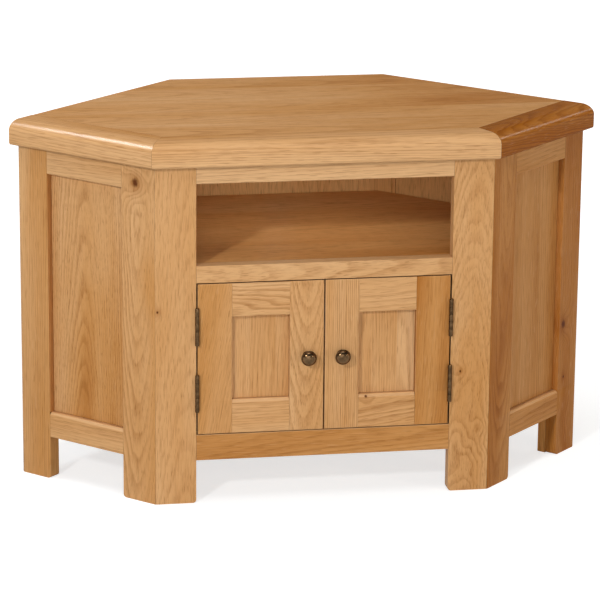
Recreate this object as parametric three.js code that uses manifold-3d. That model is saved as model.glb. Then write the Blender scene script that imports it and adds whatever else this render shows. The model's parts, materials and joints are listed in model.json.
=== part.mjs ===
// Corner TV cabinet in oak: a six-sided frame-and-panel body under a moulded top, with an open
// bay over a cupboard whose two framed doors hang on butt hinges.
// Millimetres, +Z up, front towards -Y. The origin is on the floor, in the middle of the width and
// midway between the knobs' faces and the back edge of the top.

import * as THREE from 'three';
import { mergeVertices } from 'three/addons/utils/BufferGeometryUtils.js';
import Module from 'manifold-3d';

const wasm = await Module();
wasm.setup();

// Driving sizes of the whole cabinet
const topWidth = 1000;
const depthShare = 0.52; // of the width
const sideRunShare = 0.3; // of the width: each short side of the top, square to the room's wall
const totalHeight = 615;
const floorClearance = 74;

// Top: a main field in three border boards with a moulded edge
const topThickness = 41;
const borderWidth = 60;
const edgeRoundWidth = 26;
const edgeRoundHeight = 16;
const edgeFootRadius = 5;
const frontOverhang = 15;
const sideOverhang = 15;
const wallOverhang = 2;

// Boards of the body
const boardThickness = 22;
const frontLegWidth = 68;
const rearLegWidth = 66;
const backLegWidth = 45;
const legFootRadius = 6;
const rearLegCornerRadius = 10;
const legBlockWidth = 30;
const legBlockThickness = 15;
const bottomRailHeight = 44;
const topRailHeight = 29;
const shelfRailHeight = 29;
const doorOpeningHeight = 260;
const sideTopRailHeight = 42;
const sideRailChamfer = 4;
const rearRailHeight = 44;

// Joinery: panels in grooves, rails tenoned into legs and stiles
const panelThickness = 6;
const sidePanelRecess = 12;
const rearPanelRecess = 13;
const grooveDepth = 8;
const panelSlack = 1;
const tenonLength = 14;
const rearTenonLength = 11;
const tenonThickness = 8;
const tenonInset = 10; // from the board's outer face
const tenonShoulder = 9;
const jointGap = 0.3;

// Shelf, cupboard floor and the cleats that carry them
const shelfThickness = 18;
const shelfJointDepth = 123; // from the body's front to the joint between the shelf's two boards
const floorBoardThickness = 15;
const shelfEdgeGap = 0.5;
const cleatHeight = 20;
const cleatThickness = 18;
const cleatEndGap = 12;

// Cable holes in the back panel: the bay's in the middle of what shows of the panel there
const cableHoleShare = 0.49; // diameter as a share of that height
const cupboardHoleHeight = 60; // centre above the cupboard's floor

// Doors
const doorThickness = 22;
const doorFrameWidth = 57;
const doorPanelRecess = 12;
const doorTopGap = 1.5;
const doorBottomGap = 1.5;
const hingeSideGap = 2.4;
const meetingGap = 2;
const meetingBevel = 1.5; // the meeting edges lean back, so that the doors clear each other

// Butt hinges
const hingeHeight = 63.5;
const hingeFromDoorEnd = 71.5; // to the hinge's middle
const leafThickness = 0.8;
const leafDepth = 15; // into the gap, from the door's face
const knuckleRadius = 3.5;
const knuckleBore = 1.8;
const knuckleCount = 5;
const knuckleClearance = 0.3;
const barrelStandoff = 0.4; // from the barrel to the door's face
const pinRadius = 1.7;
const pinHeadRadius = 2.6;
const pinHeadHeight = 1.5;

// Knobs, each with the screw that holds it through the door
const knobRadius = 13;
const knobProjection = 24;
const knobFlangeRadius = 8;
const knobFlangeHeight = 2;
const knobNeckRadius = 5;
const knobNeckHeight = 9;
const knobRimHeight = 16;
const knobRimThickness = 2;
const knobFromMiddle = 28.5;
const screwRadius = 2;
const screwHeadRadius = 4.5;
const screwHeadHeight = 2.5;

// Double magnet catch under the shelf, and the strike plates on the doors
const catchWidth = 60;
const catchDepth = 15;
const catchHeight = 24;
const poleFromMiddle = 18; // middle of each door's pair of poles
const poleSpacing = 10;
const poleThickness = 3;
const poleHeight = 8;
const poleRise = 1.5; // from the catch's underside
const poleProjection = 1;
const catchAirGap = 0.4;
const strikeWidth = 24;
const strikeHeight = 16;
const strikeThickness = 1.6;
const strikeFromDoorTop = 1;

// One overrun for every cutter, and the steps of the curves
const overrun = 3;
const mouldingSteps = 8;
const cornerSteps = 4;
const barSteps = 16;
const holeSteps = 24;
const knobSteps = 24;
const knobCurveSteps = 6;

// Heights that follow
const topUnderside = totalHeight - topThickness;
const bodyTop = topUnderside - jointGap;
const doorOpeningBottom = floorClearance + bottomRailHeight;
const doorOpeningTop = doorOpeningBottom + doorOpeningHeight;
const shelfTop = doorOpeningTop + shelfRailHeight;
const shelfUnderside = shelfTop - shelfThickness;
const floorBoardTop = doorOpeningBottom;
const floorBoardUnderside = floorBoardTop - floorBoardThickness;
const bayBackTop = bodyTop - rearRailHeight;
const bayHoleMiddle = (shelfTop + bayBackTop) / 2;
const cableHoleRadius = (bayBackTop - shelfTop) * cableHoleShare / 2;

// Finishes
const oak = { color: 0xc99a62, roughness: 0.5, metalness: 0 };
const oakTop = { color: 0xbe8e61, roughness: 0.45, metalness: 0 };
const oakInside = { color: 0xb08152, roughness: 0.6, metalness: 0 };
const brass = { color: 0x6b5836, roughness: 0.4, metalness: 0.9 };
const steel = { color: 0x8d8a84, roughness: 0.35, metalness: 1 };
const catchBrown = { color: 0x5b3c22, roughness: 0.5, metalness: 0 };

// Geometry to solid and back
function solidFrom(geometry) {
  geometry.deleteAttribute('normal');
  geometry.deleteAttribute('uv');
  const merged = mergeVertices(geometry);
  return new wasm.Manifold(new wasm.Mesh({
    numProp: 3,
    vertProperties: merged.attributes.position.array,
    triVerts: Uint32Array.from(merged.index.array),
  }));
}

function geometryFrom(solid) {
  const mesh = solid.getMesh();
  const geometry = new THREE.BufferGeometry();
  geometry.setAttribute('position', new THREE.BufferAttribute(mesh.vertProperties, 3));
  geometry.setIndex(new THREE.BufferAttribute(mesh.triVerts, 1));
  geometry.computeVertexNormals();
  return geometry;
}

function join(first, ...others) {
  return others.reduce((whole, solid) => whole.add(solid), first);
}

function cut(first, ...cutters) {
  return cutters.reduce((whole, solid) => whole.subtract(solid), first);
}

function addPiece(parent, name, solid, finish) {
  const mesh = new THREE.Mesh(geometryFrom(solid), new THREE.MeshStandardMaterial(finish));
  mesh.name = name;
  parent.add(mesh);
  return mesh;
}

// Stock shapes in a wall's own frame: x along the wall, y inward from its outer face, z up
function block(x0, x1, y0, y1, z0, z1, turn = 0) {
  const geometry = new THREE.BoxGeometry(Math.abs(x1 - x0), Math.abs(y1 - y0), Math.abs(z1 - z0));
  geometry.translate((x0 + x1) / 2, (y0 + y1) / 2, (z0 + z1) / 2);
  geometry.rotateZ(turn);
  return solidFrom(geometry);
}

// A plan outline raised from z0 to z1
function raisedPlan(outline, z0, z1) {
  const shape = outline instanceof THREE.Shape ? outline : new THREE.Shape(outline);
  const settings = { depth: z1 - z0, bevelEnabled: false, curveSegments: cornerSteps };
  const geometry = new THREE.ExtrudeGeometry(shape, settings);
  geometry.translate(0, 0, z0);
  return solidFrom(geometry);
}

// A front outline in x and z, carried inward from y0 to y1
function frontOutline(shape, y0, y1) {
  const settings = { depth: y1 - y0, bevelEnabled: false, curveSegments: cornerSteps };
  const geometry = new THREE.ExtrudeGeometry(shape, settings);
  geometry.rotateX(Math.PI / 2);
  geometry.translate(0, y1, 0);
  return solidFrom(geometry);
}

// A section in y and z, carried along the wall from x0 to x1
function lengthwise(section, x0, x1) {
  const settings = { depth: x1 - x0, bevelEnabled: false, curveSegments: mouldingSteps };
  const geometry = new THREE.ExtrudeGeometry(section, settings);
  geometry.applyMatrix4(new THREE.Matrix4().makeBasis(
    new THREE.Vector3(0, 1, 0),
    new THREE.Vector3(0, 0, 1),
    new THREE.Vector3(1, 0, 0),
  ));
  geometry.translate(x0, 0, 0);
  return solidFrom(geometry);
}

function uprightBar(x, y, z0, z1, radius) {
  const geometry = new THREE.CylinderGeometry(radius, radius, z1 - z0, barSteps);
  geometry.rotateX(Math.PI / 2);
  geometry.translate(x, y, (z0 + z1) / 2);
  return solidFrom(geometry);
}

function levelBar(x, z, y0, y1, radius) {
  const geometry = new THREE.CylinderGeometry(radius, radius, y1 - y0, holeSteps);
  geometry.translate(x, (y0 + y1) / 2, z);
  return solidFrom(geometry);
}

// Plan: six walls, anticlockwise from the front as seen from above, each turned by some eighths
const eighthTurn = Math.PI / 4;
const walls = ['front', 'rightSide', 'rightRear', 'back', 'leftRear', 'leftSide'];
const wallAngles = [0, 1, 3, 4, 5, 7].map((turns) => turns * eighthTurn);
const topDepth = topWidth * depthShare;
const topSideRun = topWidth * sideRunShare;
const halfWidth = topWidth / 2;
const topFrontY = -topDepth / 2;
const topBackY = topDepth / 2;
const sideRunAcross = topSideRun * Math.cos(eighthTurn);
const topSideY = topFrontY + sideRunAcross;
const topFrontHalf = halfWidth - sideRunAcross;
const topBackHalf = halfWidth - (topBackY - topSideY);
const topCorners = [
  new THREE.Vector2(-topFrontHalf, topFrontY),
  new THREE.Vector2(topFrontHalf, topFrontY),
  new THREE.Vector2(halfWidth, topSideY),
  new THREE.Vector2(topBackHalf, topBackY),
  new THREE.Vector2(-topBackHalf, topBackY),
  new THREE.Vector2(-halfWidth, topSideY),
];

// The plan's corners once each wall has moved in by its own inset
function planInset(insets) {
  const lines = topCorners.map((corner, i) => {
    const along = new THREE.Vector2(Math.cos(wallAngles[i]), Math.sin(wallAngles[i]));
    const inward = new THREE.Vector2(-along.y, along.x);
    return { along, start: corner.clone().addScaledVector(inward, insets[i]) };
  });
  return lines.map((line, i) => {
    const before = lines[(i + lines.length - 1) % lines.length];
    const step = line.start.clone().sub(before.start).cross(line.along) / before.along.cross(line.along);
    return before.start.clone().addScaledVector(before.along, step);
  });
}

const bodyInsets = [frontOverhang, sideOverhang, wallOverhang, wallOverhang, wallOverhang, sideOverhang];
const bodyCorners = planInset(bodyInsets);
const insideCorners = planInset(bodyInsets.map((inset) => inset + boardThickness + shelfEdgeGap));
const mitreSlope = Math.tan(eighthTurn / 2); // of the joint between walls that meet at 135 degrees

const cabinet = new THREE.Group();
cabinet.position.y = Math.max(knobProjection - frontOverhang, 0) / 2;

// Where a wall starts on a plan outline, its length and its angle
function wallLine(corners, wall) {
  const [first, ...others] = corners;
  const ends = [...others, first];
  const i = walls.indexOf(wall);
  return { start: corners[i], length: corners[i].distanceTo(ends[i]), angle: wallAngles[i] };
}

// A group that stands on one wall's line, with the wall's length
function wallFrame(corners, wall) {
  const { start, length, angle } = wallLine(corners, wall);
  const group = new THREE.Group();
  group.position.set(start.x, start.y, 0);
  group.rotation.z = angle;
  cabinet.add(group);
  return { group, length };
}

// Rails, tenons, mortises, ledges and panels
function rail(x0, x1, z0, z1, thickness, reach) {
  const tenons = [[x0 - reach, x0 + overrun], [x1 - overrun, x1 + reach]].map(([from, to]) => (
    block(from, to, tenonInset, tenonInset + tenonThickness, z0 + tenonShoulder, z1 - tenonShoulder)
  ));
  return join(block(x0 + jointGap, x1 - jointGap, 0, thickness, z0, z1), ...tenons);
}

// The cleat glued inside a bottom rail, which carries the cupboard's floor
function floorLedge(x0, x1) {
  const high = floorBoardUnderside - jointGap;
  return block(x0, x1, boardThickness - overrun, boardThickness + cleatThickness, high - cleatHeight, high);
}

// Cut into the edge at x = edge; way is +1 or -1, towards the wood
function mortise(edge, way, z0, z1, reach, turn = 0) {
  return block(
    edge - way * overrun, edge + way * (reach + jointGap),
    tenonInset - jointGap, tenonInset + tenonThickness + jointGap,
    z0 + tenonShoulder - jointGap, z1 - tenonShoulder + jointGap,
    turn,
  );
}

function mortises(edge, way, railHeights, reach, turn = 0) {
  return railHeights.map(([z0, z1]) => mortise(edge, way, z0, z1, reach, turn));
}

// The groove round a panel whose opening runs from x0 to x1 and from z0 to z1
function panelGroove(x0, x1, z0, z1, recess, turn = 0) {
  return block(
    x0 - grooveDepth, x1 + grooveDepth,
    recess - jointGap, recess + panelThickness + jointGap,
    z0 - grooveDepth, z1 + grooveDepth,
    turn,
  );
}

function panel(x0, x1, z0, z1, recess) {
  const bed = grooveDepth - panelSlack;
  return block(x0 - bed, x1 + bed, recess, recess + panelThickness, z0 - bed, z1 + bed);
}

// Top
function borderSection() {
  const section = new THREE.Shape();
  section.moveTo(borderWidth, topUnderside);
  section.lineTo(borderWidth, totalHeight);
  section.lineTo(edgeRoundWidth, totalHeight);
  section.absellipse(
    edgeRoundWidth, totalHeight - edgeRoundHeight,
    edgeRoundWidth, edgeRoundHeight, Math.PI / 2, Math.PI,
  );
  section.lineTo(0, topUnderside + edgeFootRadius);
  section.absarc(edgeFootRadius, topUnderside + edgeFootRadius, edgeFootRadius, Math.PI, 1.5 * Math.PI);
  return section;
}

// A border board, mitred at the ends that are named so and square at the others
function borderBoard(length, mitredStart, mitredEnd) {
  const startAt = (depth) => (mitredStart ? depth * mitreSlope + jointGap / 2 : 0);
  const endAt = (depth) => length - (mitredEnd ? depth * mitreSlope + jointGap / 2 : 0);
  const plan = [
    new THREE.Vector2(startAt(-overrun), -overrun),
    new THREE.Vector2(endAt(-overrun), -overrun),
    new THREE.Vector2(endAt(borderWidth + overrun), borderWidth + overrun),
    new THREE.Vector2(startAt(borderWidth + overrun), borderWidth + overrun),
  ];
  const bar = lengthwise(borderSection(), -overrun, length + overrun);
  return bar.intersect(raisedPlan(plan, topUnderside - overrun, totalHeight + overrun));
}

function makeTop() {
  const front = wallFrame(topCorners, 'front');
  const right = wallFrame(topCorners, 'rightSide');
  const left = wallFrame(topCorners, 'leftSide');
  addPiece(front.group, 'top_front_border', borderBoard(front.length, true, true), oakTop);
  addPiece(right.group, 'top_right_border', borderBoard(right.length, true, false), oakTop);
  addPiece(left.group, 'top_left_border', borderBoard(left.length, false, true), oakTop);
  const inset = borderWidth + jointGap;
  const plan = planInset([inset, inset, 0, 0, 0, inset]);
  addPiece(cabinet, 'top_main_field', raisedPlan(plan, topUnderside, totalHeight), oakTop);
}

// Outline of a leg board from its outer edge to its free edge, whose foot is rounded
function legOutline(outer, free) {
  const way = Math.sign(outer - free);
  const outline = new THREE.Shape();
  outline.moveTo(outer, 0);
  outline.lineTo(outer, bodyTop);
  outline.lineTo(free, bodyTop);
  outline.lineTo(free, legFootRadius);
  outline.absarc(
    free + way * legFootRadius, legFootRadius, legFootRadius,
    way > 0 ? Math.PI : 0, 1.5 * Math.PI, way < 0,
  );
  return outline;
}

// Front leg board, mitred along the ridge where it meets its neighbour
function frontLegBoard(ridge, way) {
  const at = (x, y) => new THREE.Vector2(ridge + way * x, y);
  const glueLine = jointGap / 2;
  const plan = raisedPlan([
    at(glueLine, 0),
    at(frontLegWidth, 0),
    at(frontLegWidth, boardThickness),
    at(glueLine + boardThickness * mitreSlope, boardThickness),
  ], 0, bodyTop);
  return plan.intersect(frontOutline(legOutline(ridge, ridge + way * frontLegWidth), 0, boardThickness));
}

// Rear leg board, flush with the rear wall, its outer corner rounded
function rearLegBoard(corner, way) {
  const at = (x) => corner + way * x;
  const plan = new THREE.Shape();
  plan.moveTo(at(rearLegWidth), 0);
  plan.lineTo(at(rearLegWidth), boardThickness);
  plan.lineTo(corner, boardThickness);
  plan.lineTo(corner, rearLegCornerRadius);
  plan.absarc(
    at(rearLegCornerRadius), rearLegCornerRadius, rearLegCornerRadius,
    way > 0 ? Math.PI : 0, 1.5 * Math.PI, way < 0,
  );
  const outline = legOutline(corner, at(rearLegWidth));
  return raisedPlan(plan, 0, bodyTop).intersect(frontOutline(outline, 0, boardThickness));
}

// Block glued inside a rear leg, under the cupboard's floor: the right one lies flush with the
// leg's free edge, the left one against the rear rail
function legBlock(corner, way, flush) {
  const inner = boardThickness + jointGap;
  const from = flush ? rearLegWidth - legBlockWidth : inner;
  return block(
    corner + way * from, corner + way * (from + legBlockWidth),
    inner, inner + legBlockThickness,
    0, floorBoardUnderside - jointGap,
  );
}

// Front: the front boards of the two corner legs, and three rails between them
const frontRailHeights = [
  [bodyTop - topRailHeight, bodyTop],
  [doorOpeningTop, shelfTop],
  [floorClearance, doorOpeningBottom],
];
const frontLength = wallLine(bodyCorners, 'front').length;
const openingLeft = frontLegWidth;
const openingRight = frontLength - frontLegWidth;

function makeFront() {
  const { group, length } = wallFrame(bodyCorners, 'front');
  const mortisesAt = (edge, way) => mortises(edge, way, frontRailHeights, tenonLength);
  const leftBoard = cut(frontLegBoard(0, 1), ...mortisesAt(openingLeft, -1));
  const rightBoard = cut(frontLegBoard(length, -1), ...mortisesAt(openingRight, 1));
  addPiece(group, 'front_left_leg_front_board', leftBoard, oak);
  addPiece(group, 'front_right_leg_front_board', rightBoard, oak);
  const [topRail, shelfRail, bottomRail] = frontRailHeights.map(([z0, z1]) => (
    rail(openingLeft, openingRight, z0, z1, boardThickness, tenonLength)
  ));
  const ledge = floorLedge(openingLeft + cleatEndGap, openingRight - cleatEndGap);
  addPiece(group, 'front_top_rail', topRail, oak);
  addPiece(group, 'front_shelf_rail', shelfRail, oak);
  addPiece(group, 'front_bottom_rail', join(bottomRail, ledge), oak);
}

// Side walls: a front leg board, a rear leg board, two rails and a recessed panel
const sideRailHeights = [
  [bodyTop - sideTopRailHeight, bodyTop],
  [floorClearance, doorOpeningBottom],
];
const sidePanelHeights = [doorOpeningBottom, bodyTop - sideTopRailHeight];

// The side's bottom rail has a chamfer along its upper outer edge
function chamferCut(x0, x1) {
  const section = new THREE.Shape([
    new THREE.Vector2(-overrun, doorOpeningBottom - sideRailChamfer - overrun),
    new THREE.Vector2(sideRailChamfer + overrun, doorOpeningBottom + overrun),
    new THREE.Vector2(-overrun, doorOpeningBottom + overrun),
  ]);
  return lengthwise(section, x0, x1);
}

function makeSide(side, frontFirst) {
  const { group, length } = wallFrame(bodyCorners, `${side}Side`);
  const way = frontFirst ? 1 : -1;
  const ridge = frontFirst ? 0 : length;
  const rear = length - ridge;
  const frontEdge = ridge + way * frontLegWidth;
  const rearEdge = rear - way * rearLegWidth;
  const x0 = Math.min(frontEdge, rearEdge);
  const x1 = Math.max(frontEdge, rearEdge);
  const groove = panelGroove(x0, x1, ...sidePanelHeights, sidePanelRecess);
  const [topRail, bottomRail] = sideRailHeights.map(([z0, z1]) => (
    cut(rail(x0, x1, z0, z1, boardThickness, tenonLength), groove)
  ));
  const frontBoard = cut(
    frontLegBoard(ridge, way), groove, ...mortises(frontEdge, -way, sideRailHeights, tenonLength),
  );
  const rearBoard = cut(
    rearLegBoard(rear, -way), groove, ...mortises(rearEdge, way, sideRailHeights, tenonLength),
    ...rearWallCuts(rear, -way),
  );
  addPiece(group, `front_${side}_leg_side_board`, frontBoard, oak);
  addPiece(group, `rear_${side}_leg_board`, rearBoard, oak);
  addPiece(group, `rear_${side}_leg_block`, legBlock(rear, -way, side === 'right'), oakInside);
  addPiece(group, `${side}_side_top_rail`, topRail, oak);
  const ledge = floorLedge(x0 + cleatEndGap, x1 - cleatEndGap);
  addPiece(group, `${side}_side_bottom_rail`, join(cut(bottomRail, chamferCut(x0, x1)), ledge), oak);
  addPiece(group, `${side}_side_panel`, panel(x0, x1, ...sidePanelHeights, sidePanelRecess), oak);
}

// Rear walls and back: rails and a thin panel between the rear legs and the back legs
const rearRailHeights = [
  [bodyTop - rearRailHeight, bodyTop],
  [floorClearance, floorClearance + rearRailHeight],
];
const rearPanelHeights = [floorClearance + rearRailHeight, bodyTop - rearRailHeight];

// What the rear wall needs in the inner face of the rear leg board: mortises for its rails' tenons,
// and a groove for its panel's edge
function rearWallCuts(corner, way) {
  const slot = (from, to, depth, z0, z1) => block(
    corner + way * from, corner + way * to,
    boardThickness - depth, boardThickness + overrun, z0, z1,
  );
  const tenonSlots = rearRailHeights.map(([z0, z1]) => slot(
    tenonInset - jointGap, tenonInset + tenonThickness + jointGap, rearTenonLength + jointGap,
    z0 + tenonShoulder - jointGap, z1 - tenonShoulder + jointGap,
  ));
  const [low, high] = rearPanelHeights;
  const groove = slot(
    rearPanelRecess - jointGap, rearPanelRecess + panelThickness + jointGap, grooveDepth,
    low - grooveDepth, high + grooveDepth,
  );
  return [...tenonSlots, groove];
}

// Back leg: mitred round the corner between the wall that starts there and the one that ends there
function backLeg() {
  const endWay = new THREE.Vector2(-Math.cos(eighthTurn), Math.sin(eighthTurn));
  const endInward = new THREE.Vector2(endWay.y, -endWay.x);
  const endEdge = endWay.clone().multiplyScalar(backLegWidth);
  const leg = raisedPlan([
    new THREE.Vector2(0, 0),
    new THREE.Vector2(backLegWidth, 0),
    new THREE.Vector2(backLegWidth, boardThickness),
    new THREE.Vector2(boardThickness * mitreSlope, boardThickness),
    endEdge.clone().addScaledVector(endInward, boardThickness),
    endEdge,
  ], 0, bodyTop);
  const far = backLegWidth + overrun;
  return cut(
    leg,
    ...mortises(backLegWidth, -1, rearRailHeights, rearTenonLength),
    ...mortises(-backLegWidth, 1, rearRailHeights, rearTenonLength, -eighthTurn),
    panelGroove(backLegWidth, far, ...rearPanelHeights, rearPanelRecess),
    panelGroove(-far, -backLegWidth, ...rearPanelHeights, rearPanelRecess, -eighthTurn),
  );
}

// A rear wall between two legs, each given by its width and the width of the block inside it
function makeRearWall(name, wall, startLeg, endLeg, holesAt) {
  const { group, length } = wallFrame(bodyCorners, wall);
  const x0 = startLeg.width;
  const x1 = length - endLeg.width;
  const groove = panelGroove(x0, x1, ...rearPanelHeights, rearPanelRecess);
  const [topRail, bottomRail] = rearRailHeights.map(([z0, z1]) => (
    cut(rail(x0, x1, z0, z1, boardThickness, rearTenonLength), groove)
  ));
  const ledge = floorLedge(x0 + startLeg.blockWidth + cleatEndGap, x1 - endLeg.blockWidth - cleatEndGap);
  addPiece(group, `${name}_top_rail`, topRail, oakInside);
  addPiece(group, `${name}_bottom_rail`, join(bottomRail, ledge), oakInside);
  const sheet = panel(x0, x1, ...rearPanelHeights, rearPanelRecess);
  addPiece(group, `${name}_panel`, cut(sheet, ...holesAt(length / 2)), oakInside);
}

function cableHoles(x) {
  return [bayHoleMiddle, floorBoardTop + cupboardHoleHeight].map((z) => (
    levelBar(x, z, rearPanelRecess - overrun, rearPanelRecess + panelThickness + overrun, cableHoleRadius)
  ));
}

function makeRear() {
  const sideLeg = { width: boardThickness, blockWidth: legBlockThickness };
  const cornerLeg = { width: backLegWidth, blockWidth: 0 };
  addPiece(wallFrame(bodyCorners, 'back').group, 'back_right_leg', backLeg(), oakInside);
  addPiece(wallFrame(bodyCorners, 'leftRear').group, 'back_left_leg', backLeg(), oakInside);
  makeRearWall('right_rear', 'rightRear', sideLeg, cornerLeg, () => []);
  makeRearWall('back', 'back', cornerLeg, cornerLeg, cableHoles);
  makeRearWall('left_rear', 'leftRear', cornerLeg, sideLeg, () => []);
}

// Shelf, cupboard floor and cleats
function insideBoard(y0, y1, z0, z1) {
  const strip = block(-halfWidth, halfWidth, y0, y1, z0 - overrun, z1 + overrun);
  return raisedPlan(insideCorners, z0, z1).intersect(strip);
}

// A batten under the shelf on a wall's inner face, measured from the wall's two corners
function shelfCleat(wall, startMargin, endMargin, high) {
  const { start, length, angle } = wallLine(bodyCorners, wall);
  const inner = boardThickness + jointGap;
  const plan = [
    [startMargin, inner],
    [length - endMargin, inner],
    [length - endMargin, inner + cleatThickness],
    [startMargin, inner + cleatThickness],
  ].map(([x, y]) => new THREE.Vector2(x, y).rotateAround(new THREE.Vector2(), angle).add(start));
  return raisedPlan(plan, high - cleatHeight, high);
}

// The shelf's two boards, the rear one with its batten glued under it, and the cupboard's floor
function makeShelves() {
  const jointY = bodyCorners[0].y + shelfJointDepth;
  const front = insideBoard(topFrontY, jointY - jointGap / 2, shelfUnderside, shelfTop);
  const rear = insideBoard(jointY + jointGap / 2, topBackY, shelfUnderside, shelfTop);
  const floorBoard = insideBoard(topFrontY, topBackY, floorBoardUnderside, floorBoardTop);
  const rearBatten = shelfCleat('back', backLegWidth / 2, backLegWidth / 2, shelfUnderside + overrun);
  addPiece(cabinet, 'shelf_front_board', front, oakInside);
  addPiece(cabinet, 'shelf_rear_board', join(rear, rearBatten), oakInside);
  addPiece(cabinet, 'cupboard_floor_board', floorBoard, oakInside);
  const atFront = frontLegWidth / 2;
  const atRear = rearLegWidth / 2;
  const cleatTop = shelfUnderside - jointGap;
  addPiece(cabinet, 'right_shelf_cleat', shelfCleat('rightSide', atFront, atRear, cleatTop), oakInside);
  addPiece(cabinet, 'left_shelf_cleat', shelfCleat('leftSide', atRear, atFront, cleatTop), oakInside);
}

// Doors, all in the front wall's frame; way points from a door's hinge to its meeting edge
const doorLow = doorOpeningBottom + doorBottomGap;
const doorHigh = doorOpeningTop - doorTopGap;
const doorRailHeights = [[doorHigh - doorFrameWidth, doorHigh], [doorLow, doorLow + doorFrameWidth]];
const doorPanelHeights = [doorLow + doorFrameWidth, doorHigh - doorFrameWidth];
const knobHeight = (doorLow + doorHigh) / 2;
const screwHoleRadius = screwRadius + jointGap;
const frontMiddle = frontLength / 2;

function makeDoor(group, side, way) {
  const hingeEdge = (way > 0 ? openingLeft : openingRight) + way * hingeSideGap;
  const meetingEdge = frontMiddle - way * meetingGap / 2;
  const hingeStileEdge = hingeEdge + way * doorFrameWidth;
  const meetingStileEdge = meetingEdge - way * doorFrameWidth;
  const x0 = Math.min(hingeStileEdge, meetingStileEdge);
  const x1 = Math.max(hingeStileEdge, meetingStileEdge);
  const knobX = frontMiddle - way * knobFromMiddle;
  const groove = panelGroove(x0, x1, ...doorPanelHeights, doorPanelRecess);

  const hingeStile = cut(
    block(hingeEdge, hingeStileEdge, 0, doorThickness, doorLow, doorHigh), groove,
    ...mortises(hingeStileEdge, -way, doorRailHeights, tenonLength),
  );
  const meetingPlan = [
    new THREE.Vector2(meetingStileEdge, 0),
    new THREE.Vector2(meetingEdge, 0),
    new THREE.Vector2(meetingEdge - way * meetingBevel, doorThickness),
    new THREE.Vector2(meetingStileEdge, doorThickness),
  ];
  const meetingStile = cut(
    raisedPlan(meetingPlan, doorLow, doorHigh), groove,
    ...mortises(meetingStileEdge, way, doorRailHeights, tenonLength),
    levelBar(knobX, knobHeight, -overrun, doorThickness + overrun, screwHoleRadius),
  );
  addPiece(group, `${side}_door_hinge_stile`, hingeStile, oak);
  addPiece(group, `${side}_door_meeting_stile`, meetingStile, oak);
  ['top_rail', 'bottom_rail'].forEach((part, i) => {
    const [z0, z1] = doorRailHeights[i];
    const board = rail(x0, x1, z0, z1, doorThickness, tenonLength);
    addPiece(group, `${side}_door_${part}`, cut(board, groove), oak);
  });
  addPiece(group, `${side}_door_panel`, panel(x0, x1, ...doorPanelHeights, doorPanelRecess), oak);
  makeKnob(group, side, knobX);
  makeHinges(group, side, way, hingeEdge - way * hingeSideGap / 2);
  makeStrikePlate(group, side, frontMiddle - way * poleFromMiddle);
}

// Mushroom knob on a small flange, turned from axis to axis in radius and height. Its screw runs
// back through the stile to a domed head on the stile's inner face.
function makeKnob(group, side, x) {
  const height = knobProjection - jointGap;
  const rimTop = knobRimHeight + knobRimThickness;
  const headFront = -jointGap - doorThickness - jointGap;
  const profile = new THREE.Path();
  profile.moveTo(0, headFront - screwHeadHeight);
  profile.quadraticCurveTo(screwHeadRadius, headFront - screwHeadHeight, screwHeadRadius, headFront);
  profile.lineTo(screwRadius, headFront);
  profile.lineTo(screwRadius, 0);
  profile.lineTo(knobFlangeRadius, 0);
  profile.lineTo(knobFlangeRadius, knobFlangeHeight);
  profile.quadraticCurveTo(knobNeckRadius, knobFlangeHeight, knobNeckRadius, knobNeckHeight);
  profile.quadraticCurveTo(knobNeckRadius, knobRimHeight, knobRadius, knobRimHeight);
  profile.lineTo(knobRadius, rimTop);
  profile.absellipse(0, rimTop, knobRadius, height - rimTop, 0, Math.PI / 2);
  const geometry = new THREE.LatheGeometry(profile.getPoints(knobCurveSteps), knobSteps);
  const mesh = addPiece(group, `${side}_knob`, solidFrom(geometry), brass);
  mesh.position.set(x, -jointGap, knobHeight);
  mesh.rotation.x = Math.PI;
}

// Hinge leaf: a plate in the gap at the door's edge, and every second knuckle of the barrel.
// plateWay is the side of the barrel's axis that the plate lies on.
const hingeAxisY = -barrelStandoff - knuckleRadius;

function hingeLeaf(axisX, plateWay, low, firstKnuckle) {
  const pitch = hingeHeight / knuckleCount;
  const outer = hingeSideGap / 2 - jointGap;
  const turningRadius = knuckleRadius + knuckleClearance;
  let leaf = block(
    axisX + plateWay * (outer - leafThickness), axisX + plateWay * outer,
    hingeAxisY, leafDepth, low, low + hingeHeight,
  );
  for (let k = 0; k < knuckleCount; k += 1) {
    const z0 = low + k * pitch;
    const z1 = z0 + pitch;
    leaf = k % 2 === firstKnuckle
      ? join(leaf, uprightBar(axisX, hingeAxisY, z0, z1 - knuckleClearance, knuckleRadius))
      : cut(leaf, uprightBar(axisX, hingeAxisY, z0 - knuckleClearance, z1, turningRadius));
  }
  return leaf;
}

// The frame's leaf holds the pin, and the door's leaf turns on it
function makeHinges(group, side, way, axisX) {
  const middles = { lower: doorLow + hingeFromDoorEnd, upper: doorHigh - hingeFromDoorEnd };
  Object.entries(middles).forEach(([place, middle]) => {
    const low = middle - hingeHeight / 2;
    const high = middle + hingeHeight / 2;
    const pin = uprightBar(axisX, hingeAxisY, low, high + pinHeadHeight, pinRadius);
    const pinHead = uprightBar(axisX, hingeAxisY, high - overrun, high + pinHeadHeight, pinHeadRadius);
    const bore = uprightBar(axisX, hingeAxisY, low - overrun, high + overrun, knuckleBore);
    const frameLeaf = join(hingeLeaf(axisX, -way, low, 0), pin, pinHead);
    const doorLeaf = cut(hingeLeaf(axisX, way, low, 1), bore);
    addPiece(group, `${side}_${place}_hinge_frame_leaf`, frameLeaf, brass);
    addPiece(group, `${side}_${place}_hinge_door_leaf`, doorLeaf, brass);
  });
}

// Strike plate on the back of a door, and the double magnet catch under the shelf
const strikeBack = doorThickness + jointGap + strikeThickness;

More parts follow.
